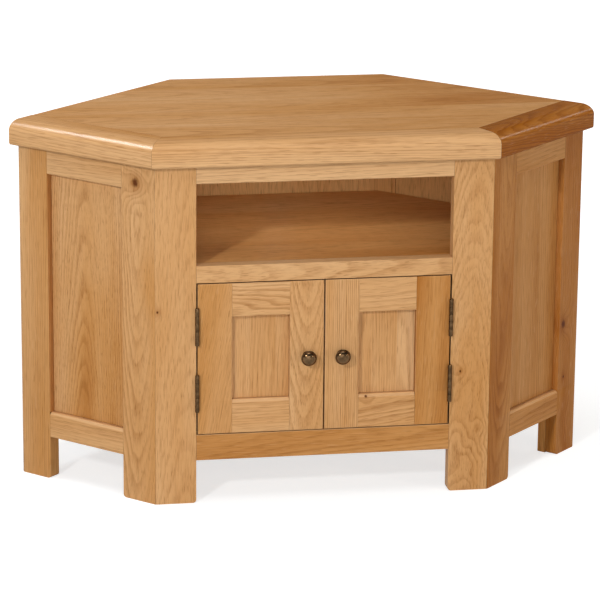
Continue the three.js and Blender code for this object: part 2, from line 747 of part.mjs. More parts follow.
function makeStrikePlate(group, side, x) {
  const high = doorHigh - strikeFromDoorTop;
  const plate = block(
    x - strikeWidth / 2, x + strikeWidth / 2,
    doorThickness + jointGap, strikeBack,
    high - strikeHeight, high,
  );
  addPiece(group, `${side}_strike_plate`, plate, steel);
}

function makeCatch(group) {
  const polesFront = strikeBack + catchAirGap;
  const bodyFront = polesFront + poleProjection;
  const high = shelfUnderside - jointGap;
  const low = high - catchHeight;
  const body = block(
    frontMiddle - catchWidth / 2, frontMiddle + catchWidth / 2,
    bodyFront, bodyFront + catchDepth, low, high,
  );
  const poleMiddles = [-1, 1].flatMap((door) => [-1, 1].map((pole) => (
    frontMiddle + door * poleFromMiddle + pole * poleSpacing / 2
  )));
  const poles = poleMiddles.map((middle) => block(
    middle - poleThickness / 2, middle + poleThickness / 2,
    polesFront, bodyFront + overrun,
    low + poleRise, low + poleRise + poleHeight,
  ));
  addPiece(group, 'magnet_catch', join(body, ...poles), catchBrown);
}

function makeDoors() {
  const { group } = wallFrame(bodyCorners, 'front');
  makeDoor(group, 'left', 1);
  makeDoor(group, 'right', -1);
  makeCatch(group);
}

makeTop();
makeFront();
makeSide('right', true);
makeSide('left', false);
makeRear();
makeShelves();
makeDoors();

export default cabinet;
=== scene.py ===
"""Corner TV cabinet in golden oak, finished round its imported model.

Metres, +Z up, front towards -Y. Each board is the model's own solid with its free edges eased,
and its grain is worked out from the place where the board lay in the log that it was sawn from.
"""

import json
import math

import bmesh
import bpy
import numpy as np
from mathutils import Matrix, Vector
from mathutils.bvhtree import BVHTree

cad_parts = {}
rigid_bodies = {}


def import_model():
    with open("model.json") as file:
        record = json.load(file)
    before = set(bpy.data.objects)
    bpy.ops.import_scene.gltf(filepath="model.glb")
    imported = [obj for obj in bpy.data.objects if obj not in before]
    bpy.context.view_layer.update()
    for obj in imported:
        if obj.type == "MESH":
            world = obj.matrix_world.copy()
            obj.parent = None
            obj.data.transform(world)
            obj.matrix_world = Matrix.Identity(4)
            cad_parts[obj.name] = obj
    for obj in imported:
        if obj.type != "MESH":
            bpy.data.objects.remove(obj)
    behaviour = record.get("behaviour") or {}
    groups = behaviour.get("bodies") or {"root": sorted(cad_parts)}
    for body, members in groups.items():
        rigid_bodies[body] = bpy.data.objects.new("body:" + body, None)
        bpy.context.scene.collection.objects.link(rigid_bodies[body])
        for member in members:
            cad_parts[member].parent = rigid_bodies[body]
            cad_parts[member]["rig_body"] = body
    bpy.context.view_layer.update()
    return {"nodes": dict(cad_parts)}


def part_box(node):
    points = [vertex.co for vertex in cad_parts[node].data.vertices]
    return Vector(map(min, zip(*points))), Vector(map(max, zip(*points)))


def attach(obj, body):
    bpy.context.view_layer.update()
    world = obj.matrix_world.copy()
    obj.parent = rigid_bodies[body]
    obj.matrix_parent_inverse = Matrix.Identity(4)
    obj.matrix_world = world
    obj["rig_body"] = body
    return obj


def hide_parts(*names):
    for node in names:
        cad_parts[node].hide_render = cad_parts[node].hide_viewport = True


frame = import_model()
MM = 0.001

# Walls: how far each one is turned from the front, anticlockwise as seen from above
WALL_TURNS = {
    "front": 0, "right_side": 45, "right_rear": 135,
    "back": 180, "left_rear": 225, "left_side": 315,
}


def wall_axes(wall):
    """Unit vectors along a wall, inward from its outer face, and up."""
    turn = math.radians(WALL_TURNS[wall])
    along = np.array([math.cos(turn), math.sin(turn), 0.0])
    inward = np.array([-math.sin(turn), math.cos(turn), 0.0])
    return along, inward, np.array([0.0, 0.0, 1.0])


def lay_axes(wall, lay):
    """Rows: along the grain, across the board, and in from its show face."""
    along, inward, up = wall_axes(wall)
    if lay == "upright":
        return np.array([up, along, inward])
    if lay == "level":
        return np.array([along, up, inward])
    return np.array([along, inward, -up])


# Shader building blocks

def put(tree, kind, feeds=None, **settings):
    """Adds a shader node, sets it up, feeds it sockets or values, and gives its outputs."""
    node = tree.nodes.new("ShaderNode" + kind)
    for key, value in settings.items():
        setattr(node, key, value)
    for key, value in (feeds or {}).items():
        if isinstance(value, bpy.types.NodeSocket):
            tree.links.new(value, node.inputs[key])
        else:
            node.inputs[key].default_value = value
    return node.outputs


def reckon(tree, operation, *terms, clamp=False):
    """One step of arithmetic on sockets or numbers."""
    return put(tree, "Math", dict(enumerate(terms)), operation=operation, use_clamp=clamp)[0]


def reckon_vector(tree, operation, *terms):
    """One step of arithmetic on vectors, which gives a length or a vector."""
    outputs = put(tree, "VectorMath", dict(enumerate(terms)), operation=operation)
    return outputs["Value"] if operation == "LENGTH" else outputs["Vector"]


def noise(tree, place, per_metre, detail=2.0):
    """Noise round zero, from about -0.5 to 0.5, with so many waves to the metre on each axis."""
    stretched = reckon_vector(tree, "MULTIPLY", place, per_metre)
    feeds = {"Vector": stretched, "Scale": 1.0, "Detail": detail}
    return reckon(tree, "SUBTRACT", put(tree, "TexNoise", feeds)[0], 0.5)


def step(tree, value, low, high):
    """A smooth step from 0 below low to 1 above high."""
    feeds = {"Value": value, "From Min": low, "From Max": high}
    return put(tree, "MapRange", feeds, interpolation_type="SMOOTHSTEP")[0]


def blend(tree, share, first, second):
    """The first colour where the share is 0, and the second where it is 1."""
    return put(tree, "Mix", {0: share, 6: first, 7: second}, data_type="RGBA")[2]


def weigh(tree, *pairs):
    """The sum of value times weight over the pairs."""
    total = 0.0
    for value, weight in pairs:
        total = reckon(tree, "MULTIPLY_ADD", value, weight, total)
    return total


def node_group(name, takes, gives):
    """A group with named inputs and outputs, and the two ends to wire inside it."""
    tree = bpy.data.node_groups.new(name, "ShaderNodeTree")
    for way, sockets in (("INPUT", takes), ("OUTPUT", gives)):
        for label, kind in sockets.items():
            tree.interface.new_socket(label, in_out=way, socket_type="NodeSocket" + kind)
    start, end = tree.nodes.new("NodeGroupInput"), tree.nodes.new("NodeGroupOutput")

    def give(label, socket):
        tree.links.new(socket, end.inputs[label])

    return tree, start.outputs, give


def swell(tree, distance, reach):
    """A bell: e to the power of minus the square of distance over reach."""
    share = reckon(tree, "DIVIDE", distance, reach)
    square = reckon(tree, "MULTIPLY", share, share)
    return reckon(tree, "EXPONENT", reckon(tree, "MULTIPLY", square, -1.0))


def within(tree, value, low, high):
    """A smooth step from 1 below low to 0 above high."""
    return reckon(tree, "SUBTRACT", 1.0, step(tree, value, low, high))


def cover(tree, under, mask, weight, colour):
    """A colour laid over another by a mask, as thick as the weight where the mask is 1."""
    return blend(tree, reckon(tree, "MULTIPLY", mask, weight), under, colour)


# Growth of the oak: the width of its rings, how far they wander, and how far curls and knots push them
RING_WIDTH, RING_DRIFT, RING_RIPPLE, CURL_PUSH = 3.3 * MM, 44 * MM, 5 * MM, 30 * MM
KNOT_PUSH, KNOT_PUSH_REACH, PIN_PUSH, PIN_PUSH_REACH = 19 * MM, 24 * MM, 6 * MM, 12 * MM

# Knots: dark within one radius and gone beyond the other, how ragged they are, and how far they
# darken the wood. They run straight in and are drawn out along the grain.
KNOT_RADII, KNOT_RAGGED, KNOT_HALO = (2.4 * MM, 8.2 * MM), 5.0 * MM, 13 * MM
PIN_RADII, PIN_RAGGED, PIN_HALO = (0.9 * MM, 2.6 * MM), 1.4 * MM, 6.5 * MM
ACROSS_KNOT = (0.78, 1.0, 0.0)

# What the oak groups take, what growth gives, the colours of oak, and what a surface gives
PLACES = dict.fromkeys(("Log", "Knot", "Pin", "Stain_And_Shade", "Burl", "Nature"), "Vector")
MASKS = dict.fromkeys(("Rings", "Bands", "Fibres", "Pores", "Rays", "Knots", "Halo", "Stain_And_Shade"), "Float")
OAK_COLOURS = ("Pale", "Honey", "Russet", "Brown")
SURFACE = {"Color": "Color", "Roughness": "Float", "Height": "Float"}


def oak_growth_group():
    """Masks of oak from a point's place in the log: along the pith, and across it two ways.

    Radius is the distance to the pith, with a slow drift, a ripple and a push round a knot.
    Early wood is a saw wave of radius over ring width, which rises at once and dies away.
    Pores, fibres and rays are noise drawn out along the log, and rays also along the radius.
    """
    tree, take, give = node_group("oak_growth", PLACES, MASKS)
    log = take["Log"]
    place = put(tree, "SeparateXYZ", {0: log})
    nature = put(tree, "SeparateXYZ", {0: take["Nature"]})
    swirl, ring_contrast = nature[1], nature[2]

    def branch(vector, ragged):
        flat = reckon_vector(tree, "MULTIPLY", vector, ACROSS_KNOT)
        distance = reckon_vector(tree, "LENGTH", flat)
        wobble = noise(tree, log, (160.0, 300.0, 300.0), 1.0)
        return distance, reckon(tree, "MULTIPLY_ADD", wobble, ragged, distance)

    knot_away, knot_edge = branch(take["Knot"], KNOT_RAGGED)
    pin_away, pin_edge = branch(take["Pin"], PIN_RAGGED)
    push = weigh(
        tree,
        (swell(tree, knot_away, KNOT_PUSH_REACH), KNOT_PUSH),
        (swell(tree, pin_away, PIN_PUSH_REACH), PIN_PUSH),
    )

    # Darker patches: stains, and on the top's boards partly painted shade
    stain_and_shade_away = reckon_vector(tree, "LENGTH", take["Stain_And_Shade"])
    stain_and_shade_edge = reckon(tree, "ADD", stain_and_shade_away, noise(tree, log, (12.0, 40.0, 40.0), 2.0))
    burl = swell(tree, reckon_vector(tree, "LENGTH", take["Burl"]), 1.0)
    curl = reckon(tree, "MULTIPLY", noise(tree, log, (15.0, 24.0, 24.0), 1.0), burl)
    push = reckon(tree, "MULTIPLY_ADD", curl, CURL_PUSH, push)

    drift = noise(tree, log, (0.9, 4.6, 4.6), 1.5)
    ripple = noise(tree, log, (8.0, 36.0, 36.0), 2.0)
    across = put(tree, "CombineXYZ", {0: 0.0, 1: place[1], 2: place[2]})[0]
    plain = reckon_vector(tree, "LENGTH", across)
    wander = reckon(
        tree, "MULTIPLY", swirl, weigh(tree, (drift, RING_DRIFT), (ripple, RING_RIPPLE)))
    radius = reckon(tree, "ADD", reckon(tree, "ADD", plain, wander), push)

    by_radius = put(tree, "CombineXYZ", {0: radius, 1: place[0], 2: 0.0})[0]
    uneven = noise(tree, by_radius, (75.0, 0.5, 1.0), 1.0)
    phase = reckon(tree, "MULTIPLY_ADD", uneven, 2.2, reckon(tree, "DIVIDE", radius, RING_WIDTH))
    saw = reckon(tree, "FRACT", phase)
    early = reckon(tree, "MULTIPLY", step(tree, saw, 0.0, 0.14), within(tree, saw, 0.14, 0.75))
    bands = noise(tree, by_radius, (24.0, 0.9, 1.0), 2.0)
    patch = noise(tree, log, (2.2, 17.0, 17.0), 1.0)
    strength = reckon(tree, "ADD", weigh(tree, (bands, 0.9), (patch, 1.5)), 0.52, clamp=True)
    contrast = reckon(tree, "ADD", ring_contrast, reckon(tree, "MULTIPLY", burl, 0.9))
    strong = reckon(tree, "MULTIPLY", early, strength)

    fibres = weigh(
        tree,
        (noise(tree, log, (7.0, 300.0, 300.0), 2.0), 1.0),
        (noise(tree, log, (22.0, 1000.0, 1000.0), 1.0), 0.8),
    )
    pore_noise = noise(tree, log, (34.0, 1250.0, 1250.0), 0.0)
    turn = reckon(tree, "ARCTAN2", place[2], place[1])
    by_turn = put(tree, "CombineXYZ", {0: place[0], 1: radius, 2: turn})[0]

    give("Rings", reckon(tree, "MULTIPLY", strong, contrast))
    give("Bands", bands)
    give("Fibres", fibres)
    give("Pores", step(tree, reckon(tree, "MULTIPLY_ADD", early, 0.09, pore_noise), 0.13, 0.24))
    give("Rays", step(tree, noise(tree, by_turn, (46.0, 34.0, 95.0), 0.5), 0.14, 0.24))
    give("Knots", reckon(
        tree, "MAXIMUM", within(tree, knot_edge, *KNOT_RADII), within(tree, pin_edge, *PIN_RADII)))
    give("Halo", weigh(
        tree, (swell(tree, knot_away, KNOT_HALO), 0.9), (swell(tree, pin_away, PIN_HALO), 0.6)))
    give("Stain_And_Shade", swell(tree, stain_and_shade_edge, 1.0))
    return tree


# How rings darken the wood, the colour of a knot's heart, and the painted shade in narrow gaps between
# boards
RING_SHADE = (0.62, 0.47, 0.30)
KNOT_BROWN, GAP_SHADE_BROWN = (0.10, 0.024, 0.005, 1.0), (0.05, 0.02, 0.007, 1.0)


def oak_surface_group(growth):
    """Colour, roughness and height of lacquered oak, from the masks of the growth group.

    Tone, the slow bands, clouds and stains, partly painted shade on the top, choose from pale through
    honey to russet, rings, fibres and pores lead to brown, rounded edges go back to pale as wear and
    painted highlight, bottom rails' upward faces as painted light, and faces in narrow gaps take
    painted shade.
    """
    takes = {**PLACES, "Wear_And_Painted_Light": "Float", "Gap_Shade": "Float", **dict.fromkeys(OAK_COLOURS, "Color")}
    tree, take, give = node_group("oak_surface", takes, SURFACE)
    grown = put(tree, "Group", {label: take[label] for label in PLACES}, node_tree=growth)
    tone = put(tree, "SeparateXYZ", {0: take["Nature"]})[0]
    cloud = noise(tree, take["Log"], (1.6, 13.0, 13.0), 2.0)
    warmth = weigh(
        tree, (tone, 0.5), (grown["Bands"], 1.0), (cloud, 1.1), (grown["Stain_And_Shade"], 0.45), (1.0, 0.5))
    wood = blend(tree, reckon(tree, "MAXIMUM", warmth, 0.0, clamp=True), take["Pale"], take["Honey"])
    deep = reckon(tree, "SUBTRACT", reckon(tree, "MULTIPLY", warmth, 2.0), 2.0, clamp=True)
    wood = blend(tree, deep, wood, take["Russet"])
    wood = blend(tree, reckon(tree, "SUBTRACT", warmth, 1.5, clamp=True), wood, take["Brown"])

    rings = reckon(tree, "MULTIPLY", grown["Rings"], 0.62)
    rings = reckon(tree, "ADD", rings, grown["Halo"], clamp=True)
    wood = blend(tree, rings, wood, reckon_vector(tree, "MULTIPLY", wood, RING_SHADE))
    dark = weigh(tree, (grown["Fibres"], 0.62), (grown["Pores"], 0.34), (grown["Rings"], 0.08))
    wood = blend(tree, reckon(tree, "MAXIMUM", dark, 0.0, clamp=True), wood, take["Brown"])
    wood = cover(tree, wood, grown["Rays"], 0.16, take["Pale"])
    # Wear and painted highlight on rounded edges, and painted light on bottom rails' upward faces, go
    # back to pale
    wood = cover(tree, wood, take["Wear_And_Painted_Light"], 0.45, take["Pale"])
    wood = cover(tree, wood, grown["Knots"], 0.93, KNOT_BROWN)
    # Painted shade: faces that look into narrow gaps between boards are darkened
    wood = cover(tree, wood, take["Gap_Shade"], 0.85, GAP_SHADE_BROWN)
    give("Color", wood)
    rough = weigh(
        tree,
        (grown["Pores"], 0.12), (grown["Fibres"], 0.12), (grown["Rays"], -0.05), (take["Wear_And_Painted_Light"], -0.05),
    )
    give("Roughness", reckon(tree, "ADD", rough, 0.43))
    give("Height", weigh(
        tree,
        (grown["Pores"], -1.0), (grown["Rings"], -0.35), (grown["Fibres"], 0.5), (grown["Knots"], -0.8),
    ))
    return tree


def tarnish_group():
    """Colour, roughness and height of old metal: clouds, fine pits, and a Worn mask from the mesh.

    Clouds, pits and wear lead from the dull colour to the bright one, which is smoother. On the knobs
    the Worn mask also carries a painted highlight round the dome's shoulder.
    """
    takes = {"Place": "Vector", "Worn": "Float", "Dull": "Color", "Bright": "Color", "Rough": "Float"}
    tree, take, give = node_group("tarnish", takes, SURFACE)
    clouds = noise(tree, take["Place"], (160.0, 160.0, 160.0), 3.0)
    pits = noise(tree, take["Place"], (1500.0, 1500.0, 1500.0), 2.0)
    brushed = noise(tree, take["Place"], (2600.0, 2600.0, 300.0), 1.0)
    worn = weigh(tree, (clouds, 0.9), (pits, 0.35), (take["Worn"], 0.75))
    bright = reckon(tree, "ADD", worn, 0.22, clamp=True)
    rough = reckon(tree, "ADD", weigh(tree, (clouds, 0.12), (pits, 0.15), (bright, -0.1)), 0.36)
    give("Color", blend(tree, bright, take["Dull"], take["Bright"]))
    give("Roughness", reckon(tree, "ADD", rough, take["Rough"]))
    give("Height", weigh(tree, (pits, 1.0), (brushed, 0.5)))
    return tree


OAK_SURFACE = oak_surface_group(oak_growth_group())
TARNISH = tarnish_group()


def empty_tree(owner):
    """The node tree of a material or a world, with nothing in it."""
    owner.use_nodes = True
    owner.node_tree.nodes.clear()
    return owner.node_tree


def blank_material(name):
    """A material with only its shader and output, and the shader's inputs to feed."""
    material = bpy.data.materials.new(name)
    tree = empty_tree(material)
    shader = tree.nodes.new("ShaderNodeBsdfPrincipled")
    put(tree, "OutputMaterial", {"Surface": shader.outputs[0]})
    return material, tree, shader.inputs


def attribute(tree, name, output="Vector"):
    """What the mesh says at each point, as a vector or as the number Fac."""
    return put(tree, "Attribute", attribute_name=name)[output]


def lay_surface(tree, inputs, group, feeds, depth, strength):
    """Feeds the shader's colour, roughness and normal from a surface group, to a depth in metres."""
    surface = put(tree, "Group", feeds, node_tree=group)
    tree.links.new(surface["Color"], inputs["Base Color"])
    tree.links.new(surface["Roughness"], inputs["Roughness"])
    bump = {"Height": surface["Height"], "Distance": depth, "Strength": strength}
    tree.links.new(put(tree, "Bump", bump)[0], inputs["Normal"])


def oak_material(name, colours, shine, lacquer, lacquer_roughness):
    """Oak in four colours from pale to brown, with the shine of bare wood under a lacquer."""
    material, tree, inputs = blank_material(name)
    feeds = {label: attribute(tree, label.lower()) for label in PLACES}
    # The edge mask: wear and painted highlight on rounded edges, painted light on bottom rails' upward
    # faces
    feeds["Wear_And_Painted_Light"] = attribute(tree, "edge", "Fac")
    # Painted shade in narrow gaps between boards
    feeds["Gap_Shade"] = attribute(tree, "gap_shade", "Fac")
    feeds.update((label, (*colour, 1.0)) for label, colour in zip(OAK_COLOURS, colours))
    lay_surface(tree, inputs, OAK_SURFACE, feeds, 0.25 * MM, 0.4)
    inputs["Specular IOR Level"].default_value = shine
    inputs["Coat Weight"].default_value = lacquer
    inputs["Coat Roughness"].default_value = lacquer_roughness
    return material


def metal_material(name, dull, bright, rough, metallic=1.0, tint=(1.0, 1.0, 1.0)):
    """Old metal or moulding in a dull and a bright colour, rougher or smoother than the rest."""
    material, tree, inputs = blank_material(name)
    feeds = {
        "Place": put(tree, "TexCoord")["Object"], "Worn": attribute(tree, "worn", "Fac"),
        "Dull": (*dull, 1.0), "Bright": (*bright, 1.0), "Rough": rough,
    }
    lay_surface(tree, inputs, TARNISH, feeds, 0.05 * MM, 0.35)
    inputs["Metallic"].default_value = metallic
    inputs["Specular Tint"].default_value = (*tint, 1.0)
    return material


# Oak from pale to brown, under lacquer outside and nearly bare inside, where it is also paler and
# redder as painted light for the dim bay
RUSSET, BROWN = (0.36, 0.116, 0.010), (0.22, 0.075, 0.010)
LACQUERED = ((0.74, 0.472, 0.25), (0.56, 0.275, 0.09), RUSSET, BROWN)
BARE_AND_PAINTED_LIGHT = ((0.80, 0.47, 0.19), (0.70, 0.34, 0.105), RUSSET, BROWN)
MATERIALS = {
    "oak": oak_material("golden_oak", LACQUERED, 0.04, 0.06, 0.3),
    "oak_top": oak_material("golden_oak_top", LACQUERED, 0.0, 0.16, 0.23),
    "oak_inside": oak_material("golden_oak_inside", BARE_AND_PAINTED_LIGHT, 0.1, 0.0, 0.4),
    "aged_brass": metal_material(
        "aged_brass", (0.030, 0.016, 0.007), (0.21, 0.125, 0.062), -0.06, tint=(0.8, 0.6, 0.42)),
    "steel": metal_material("zinc_plated_steel", (0.22, 0.215, 0.20), (0.46, 0.45, 0.43), 0.08),
    "catch_body": metal_material(
        "brown_moulding", (0.09, 0.038, 0.014), (0.13, 0.06, 0.024), 0.1, metallic=0.0),
}

# Boards: wall, lay and material. The numbers are the tone from pale -1 through honey 1 to russet 2,
# the swirl, the strength of the rings, the pith's place across and behind the board's middle in mm,
# and the pith's slopes both ways where they are not plain.
PLAIN_SLOPES = (0.01, 0.01)
OAK, TOP, INSIDE = "oak", "oak_top", "oak_inside"
# The boards of the right side, the right legs' side boards and the top's right border have higher
# tones, darker and more russet: partly the wood's colour, partly painted shade on the side turned away
# from the key lamp. The bay's back walls are paler, and the shelf's front board darker than its rear,
# partly as painted light and shade inside the bay.
BOARDS = {
    "top_front_border": ("front", "flat", TOP, -0.2, 0.5, 0.7, 40, 90),
    "top_right_border": ("right_side", "flat", TOP, 1.75, 1.8, 1.5, 20, 55, 0.03, 0.05),
    "top_left_border": ("left_side", "flat", TOP, -0.25, 0.6, 0.6, 70, 80),
    "top_main_field": ("front", "flat", TOP, 0.46, 0.5, 0.45, 10, 60, 0.02, 0.03),
    "front_left_leg_front_board": ("front", "upright", OAK, 0.35, 0.8, 0.4, 25, 75, 0.02, 0.04),
    "front_left_leg_side_board": ("left_side", "upright", OAK, 0.45, 1.0, 0.8, 4, 40, 0.01, -0.06),
    "front_right_leg_front_board": ("front", "upright", OAK, 0.2, 1.5, 0.55, -8, 55, 0.02, 0.08),
    "front_right_leg_side_board": ("right_side", "upright", OAK, 1.5, 1.5, 1.1, 6, 36, 0.02, -0.05),
    "rear_left_leg_board": ("left_side", "upright", OAK, 0.6, 0.4, 0.6, 90, 40),
    "rear_right_leg_board": ("right_side", "upright", OAK, 1.6, 0.9, 0.6, -70, 50, 0.02, 0.02),
    "rear_left_leg_block": ("left_side", "upright", INSIDE, 0.5, 0.8, 0.8, 30, 60, 0.02, 0.01),
    "rear_right_leg_block": ("right_side", "upright", INSIDE, 0.9, 1.2, 1.0, 10, 40, 0.03, 0.03),
    "back_left_leg": ("left_rear", "upright", INSIDE, 0.0, 0.6, 0.7, 50, 60, 0.01, 0.02),
    "back_right_leg": ("back", "upright", INSIDE, -0.4, 0.6, 0.7, 50, 60, 0.01, 0.02),
    "front_top_rail": ("front", "level", OAK, -0.5, 0.5, 0.5, 60, 90),
    "front_shelf_rail": ("front", "level", OAK, 0.05, 1.1, 0.7, 6, 50, 0.02, 0.05),
    "front_bottom_rail": ("front", "level", OAK, 1.05, 0.8, 0.7, 20, 80, 0.01, 0.02),
    "left_side_top_rail": ("left_side", "level", OAK, 0.35, 0.5, 0.7, 50, 70, 0.02, 0.01),
    "left_side_bottom_rail": ("left_side", "level", OAK, 0.45, 0.5, 0.5, 60, 90),
    "left_side_panel": ("left_side", "upright", OAK, 0.4, 0.75, 1.0, -12, 42, 0.01, 0.07),
    "right_side_top_rail": ("right_side", "level", OAK, 1.2, 0.6, 0.6, 40, 80),
    "right_side_bottom_rail": ("right_side", "level", OAK, 1.15, 0.9, 0.7, 30, 60, 0.02, 0.02),
    "right_side_panel": ("right_side", "upright", OAK, 1.15, 0.4, 1.0, 110, 50),
    "left_rear_top_rail": ("left_rear", "level", INSIDE, -0.6, 0.6, 0.35, 50, 70),
    "left_rear_bottom_rail": ("left_rear", "level", INSIDE, 0.2, 0.7, 0.6, 40, 80, 0.01, 0.02),
    "left_rear_panel": ("left_rear", "upright", INSIDE, -0.8, 0.7, 0.25, 20, 60, 0.02, 0.04),
    "back_top_rail": ("back", "level", INSIDE, -0.6, 0.6, 0.35, 60, 80),
    "back_bottom_rail": ("back", "level", INSIDE, -0.1, 0.6, 0.6, 40, 60),
    "back_panel": ("back", "upright", INSIDE, -0.6, 0.8, 0.35, 0, 60, 0.02, 0.04),
    "right_rear_top_rail": ("right_rear", "level", INSIDE, -0.8, 0.5, 0.35, 60, 70),
    "right_rear_bottom_rail": ("right_rear", "level", INSIDE, 0.0, 0.6, 0.6, 50, 70),
    "right_rear_panel": ("right_rear", "upright", INSIDE, -1.3, 0.7, 0.25, -15, 60, 0.02, 0.04),
    "shelf_front_board": ("front", "flat", INSIDE, 0.95, 0.7, 0.5, 30, 60, 0.01, 0.03),
    "shelf_rear_board": ("front", "flat", INSIDE, 0.1, 0.8, 0.5, 20, 60, 0.01, 0.03),
    "cupboard_floor_board": ("front", "flat", INSIDE, 0.1, 0.7, 0.7, 15, 60, 0.01, 0.03),
    "left_shelf_cleat": ("left_side", "level", INSIDE, 0.3, 0.6, 0.7, 20, 50),
    "right_shelf_cleat": ("right_side", "level", INSIDE, 0.1, 0.6, 0.7, 30, 60),
    "left_door_hinge_stile": ("front", "upright", OAK, 0.5, 0.9, 0.5, 70, 35, 0.16, 0.03),
    "left_door_meeting_stile": ("front", "upright", OAK, 0.0, 0.9, 0.65, 2, 40, 0.01, -0.09),
    "left_door_top_rail": ("front", "level", OAK, -0.2, 1.9, 1.1, -34, 60, 0.03, 0.03),
    "left_door_bottom_rail": ("front", "level", OAK, -0.1, 0.6, 0.5, 50, 80),
    "left_door_panel": ("front", "upright", OAK, 0.3, 0.6, 0.4, 30, 60, 0.01, 0.02),
    "right_door_hinge_stile": ("front", "upright", OAK, 1.6, 1.2, 0.5, 60, 70, 0.04, 0.02),
    "right_door_meeting_stile": ("front", "upright", OAK, 0.1, 0.25, 1.25, 130, 30, 0.005, 0.005),
    "right_door_top_rail": ("front", "level", OAK, 0.25, 0.8, 0.6, 30, 60, 0.04, 0.02),
    "right_door_bottom_rail": ("front", "level", OAK, 0.2, 1.5, 1.0, 24, 45, 0.12, 0.03),
    "right_door_panel": ("front", "upright", OAK, 0.0, 0.5, 0.7, -60, 60, 0.01, 0.02),
}

# Where boards are glued up edge to edge: the joints, in mm across from the board's middle
GLUE_JOINTS = {
    "top_main_field": (-142, -47, 55, 138),
    "shelf_rear_board": (-60, 48),
    "cupboard_floor_board": (-128, -30, 66, 150),
    "left_rear_panel": (-95, 5, 92),
    "right_rear_panel": (-88, -2, 100),
    "back_panel": (-60, 45),
    "right_side_panel": (22,),
    "left_door_panel": (-17, 26),
    "right_door_panel": (-24, 18),
}

# Marks, each at a point of a board's show face in mm: knots, pin knots, darker patches, partly
# painted shade on the top, and patches of curly grain. Patches also have a reach along and across
# the grain.
MARKS = {
    "knot": {
        "front_left_leg_side_board": (-309.6, -212.4, 543.6),
        "rear_right_leg_board": (450.0, -72.0, 235.3),
    },
    "pin": {
        "front_left_leg_front_board": (-277.5, -240.5, 331.6),
        "front_right_leg_front_board": (231.0, -240.5, 209.9),
        "rear_right_leg_board": (454.2, -67.8, 138.8),
        "right_door_bottom_rail": (71.3, -240.5, 172.8),
    },
    "stain_and_shade": {
        # On the top's four boards the darker patches lie on their upper faces and fade down their
        # edges: partly the wood's colour, partly painted shade, darker towards the right and along the
        # borders
        "top_main_field": (300.0, 20.0, 615.0, 330, 260),
        "top_right_border": (344.5, -99.5, 615.0, 900, 40),
        "top_left_border": (-351.6, -106.6, 615.0, 500, 34),
        "top_front_border": (0.0, -195.5, 615.0, 900, 38),
        "front_right_leg_front_board": (252.0, -240.5, 190.0, 150, 60),
        "left_side_panel": (-372.0, -130.0, 200.0, 170, 75),
        "front_left_leg_side_board": (-286.0, -236.0, 372.0, 90, 24),
    },
    "burl": {
        "front_right_leg_front_board": (255.0, -240.5, 60.0, 80, 34),
        "rear_right_leg_board": (456.0, -65.0, 40.0, 70, 30),
    },
}

# How far off a mark lies that a board does not have
FAR = 9.0


# Boards: from the model's solids to eased meshes that carry their place in the log

def mesh_values(items, key, width=1, kind=np.float32):
    """A value, or a row of so many, for each of a mesh's vertices, corners or faces."""
    values = np.empty(len(items) * width, kind)
    items.foreach_get(key, values)
    return values.reshape(-1, width) if width > 1 else values


def mesh_corners(mesh):
    """The vertex at each corner, and how many corners each face has."""
    corners = mesh_values(mesh.loops, "vertex_index", kind=np.int32)
    return corners, mesh_values(mesh.polygons, "loop_total", kind=np.int32)


def add_values(mesh, name, domain, values):
    """A number or a vector for each vertex, corner or face, for the materials to read."""
    kind, key = ("FLOAT", "value") if values.ndim == 1 else ("FLOAT_VECTOR", "vector")
    layer = mesh.attributes.new(name, kind, domain)
    layer.data.foreach_set(key, np.ascontiguousarray(values, np.float32).ravel())


def all_solids():
    """One tree of every solid's faces, and the node that each face belongs to."""
    points, faces, owners = [], [], []
    for name, solid in frame["nodes"].items():
        corners, counts = mesh_corners(solid.data)
        parts = np.split(corners + len(points), np.cumsum(counts)[:-1])
        faces.extend(part.tolist() for part in parts)
        owners.extend([name] * len(parts))
        points.extend(mesh_values(solid.data.vertices, "co", 3).tolist())
    return BVHTree.FromPolygons(points, faces), owners


SOLIDS, OWNERS = all_solids()

# Pieces this near an edge stand against it, and it is tried at these shares of its length
JOINT_REACH, TRIED_AT = 1.1 * MM, (0.08, 0.5, 0.92)

# Gaps up to this width take painted shade, and the rays that look for them start this far off a face
GAP_REACH, RAY_LIFT = 3.2 * MM, 0.05 * MM

# A rail this near a board stands beside it
BESIDE = 3 * MM


def free_edge(edge, node):
    """True unless other pieces stand against the edge at two or more of the places tried."""
    first, last = edge.verts[0].co, edge.verts[1].co
    met = 0
    for share in TRIED_AT:
        near = SOLIDS.find_nearest_range(first.lerp(last, share), JOINT_REACH)
        met += any(OWNERS[index] != node for _, _, index, _ in near)
    return met < 2


def painted_gap_shade_faces(mesh, node):
    """1 for each face that looks into a narrow gap at another board, where shade is painted, and 0
    elsewhere.
    """
    gap_shade = np.zeros(len(mesh.polygons), np.float32)
    for face in mesh.polygons:
        _, _, index, _ = SOLIDS.ray_cast(face.center + face.normal * RAY_LIFT, face.normal, GAP_REACH)
        gap_shade[face.index] = index is not None and OWNERS[index] != node and OWNERS[index] in BOARDS
    return gap_shade


def rail_levels(node):
    """Heights of the rails that stand beside an upright board."""
    low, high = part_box(node)
    levels = set()
    for rail in (board for board in BOARDS if board.endswith("_rail")):
        foot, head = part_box(rail)
        if all(foot[k] < high[k] + BESIDE and head[k] > low[k] - BESIDE for k in range(3)):
            levels.update((round(foot.z, 5), round(head.z, 5)))
    return [level for level in sorted(levels) if low.z + MM < level < high.z - MM]


# How near points are one, how little a flat face turns, and how near a cut passes through a point
ONE_POINT, ONE_FLAT, CUT_NEAR = 5e-6, math.radians(0.5), 1e-7

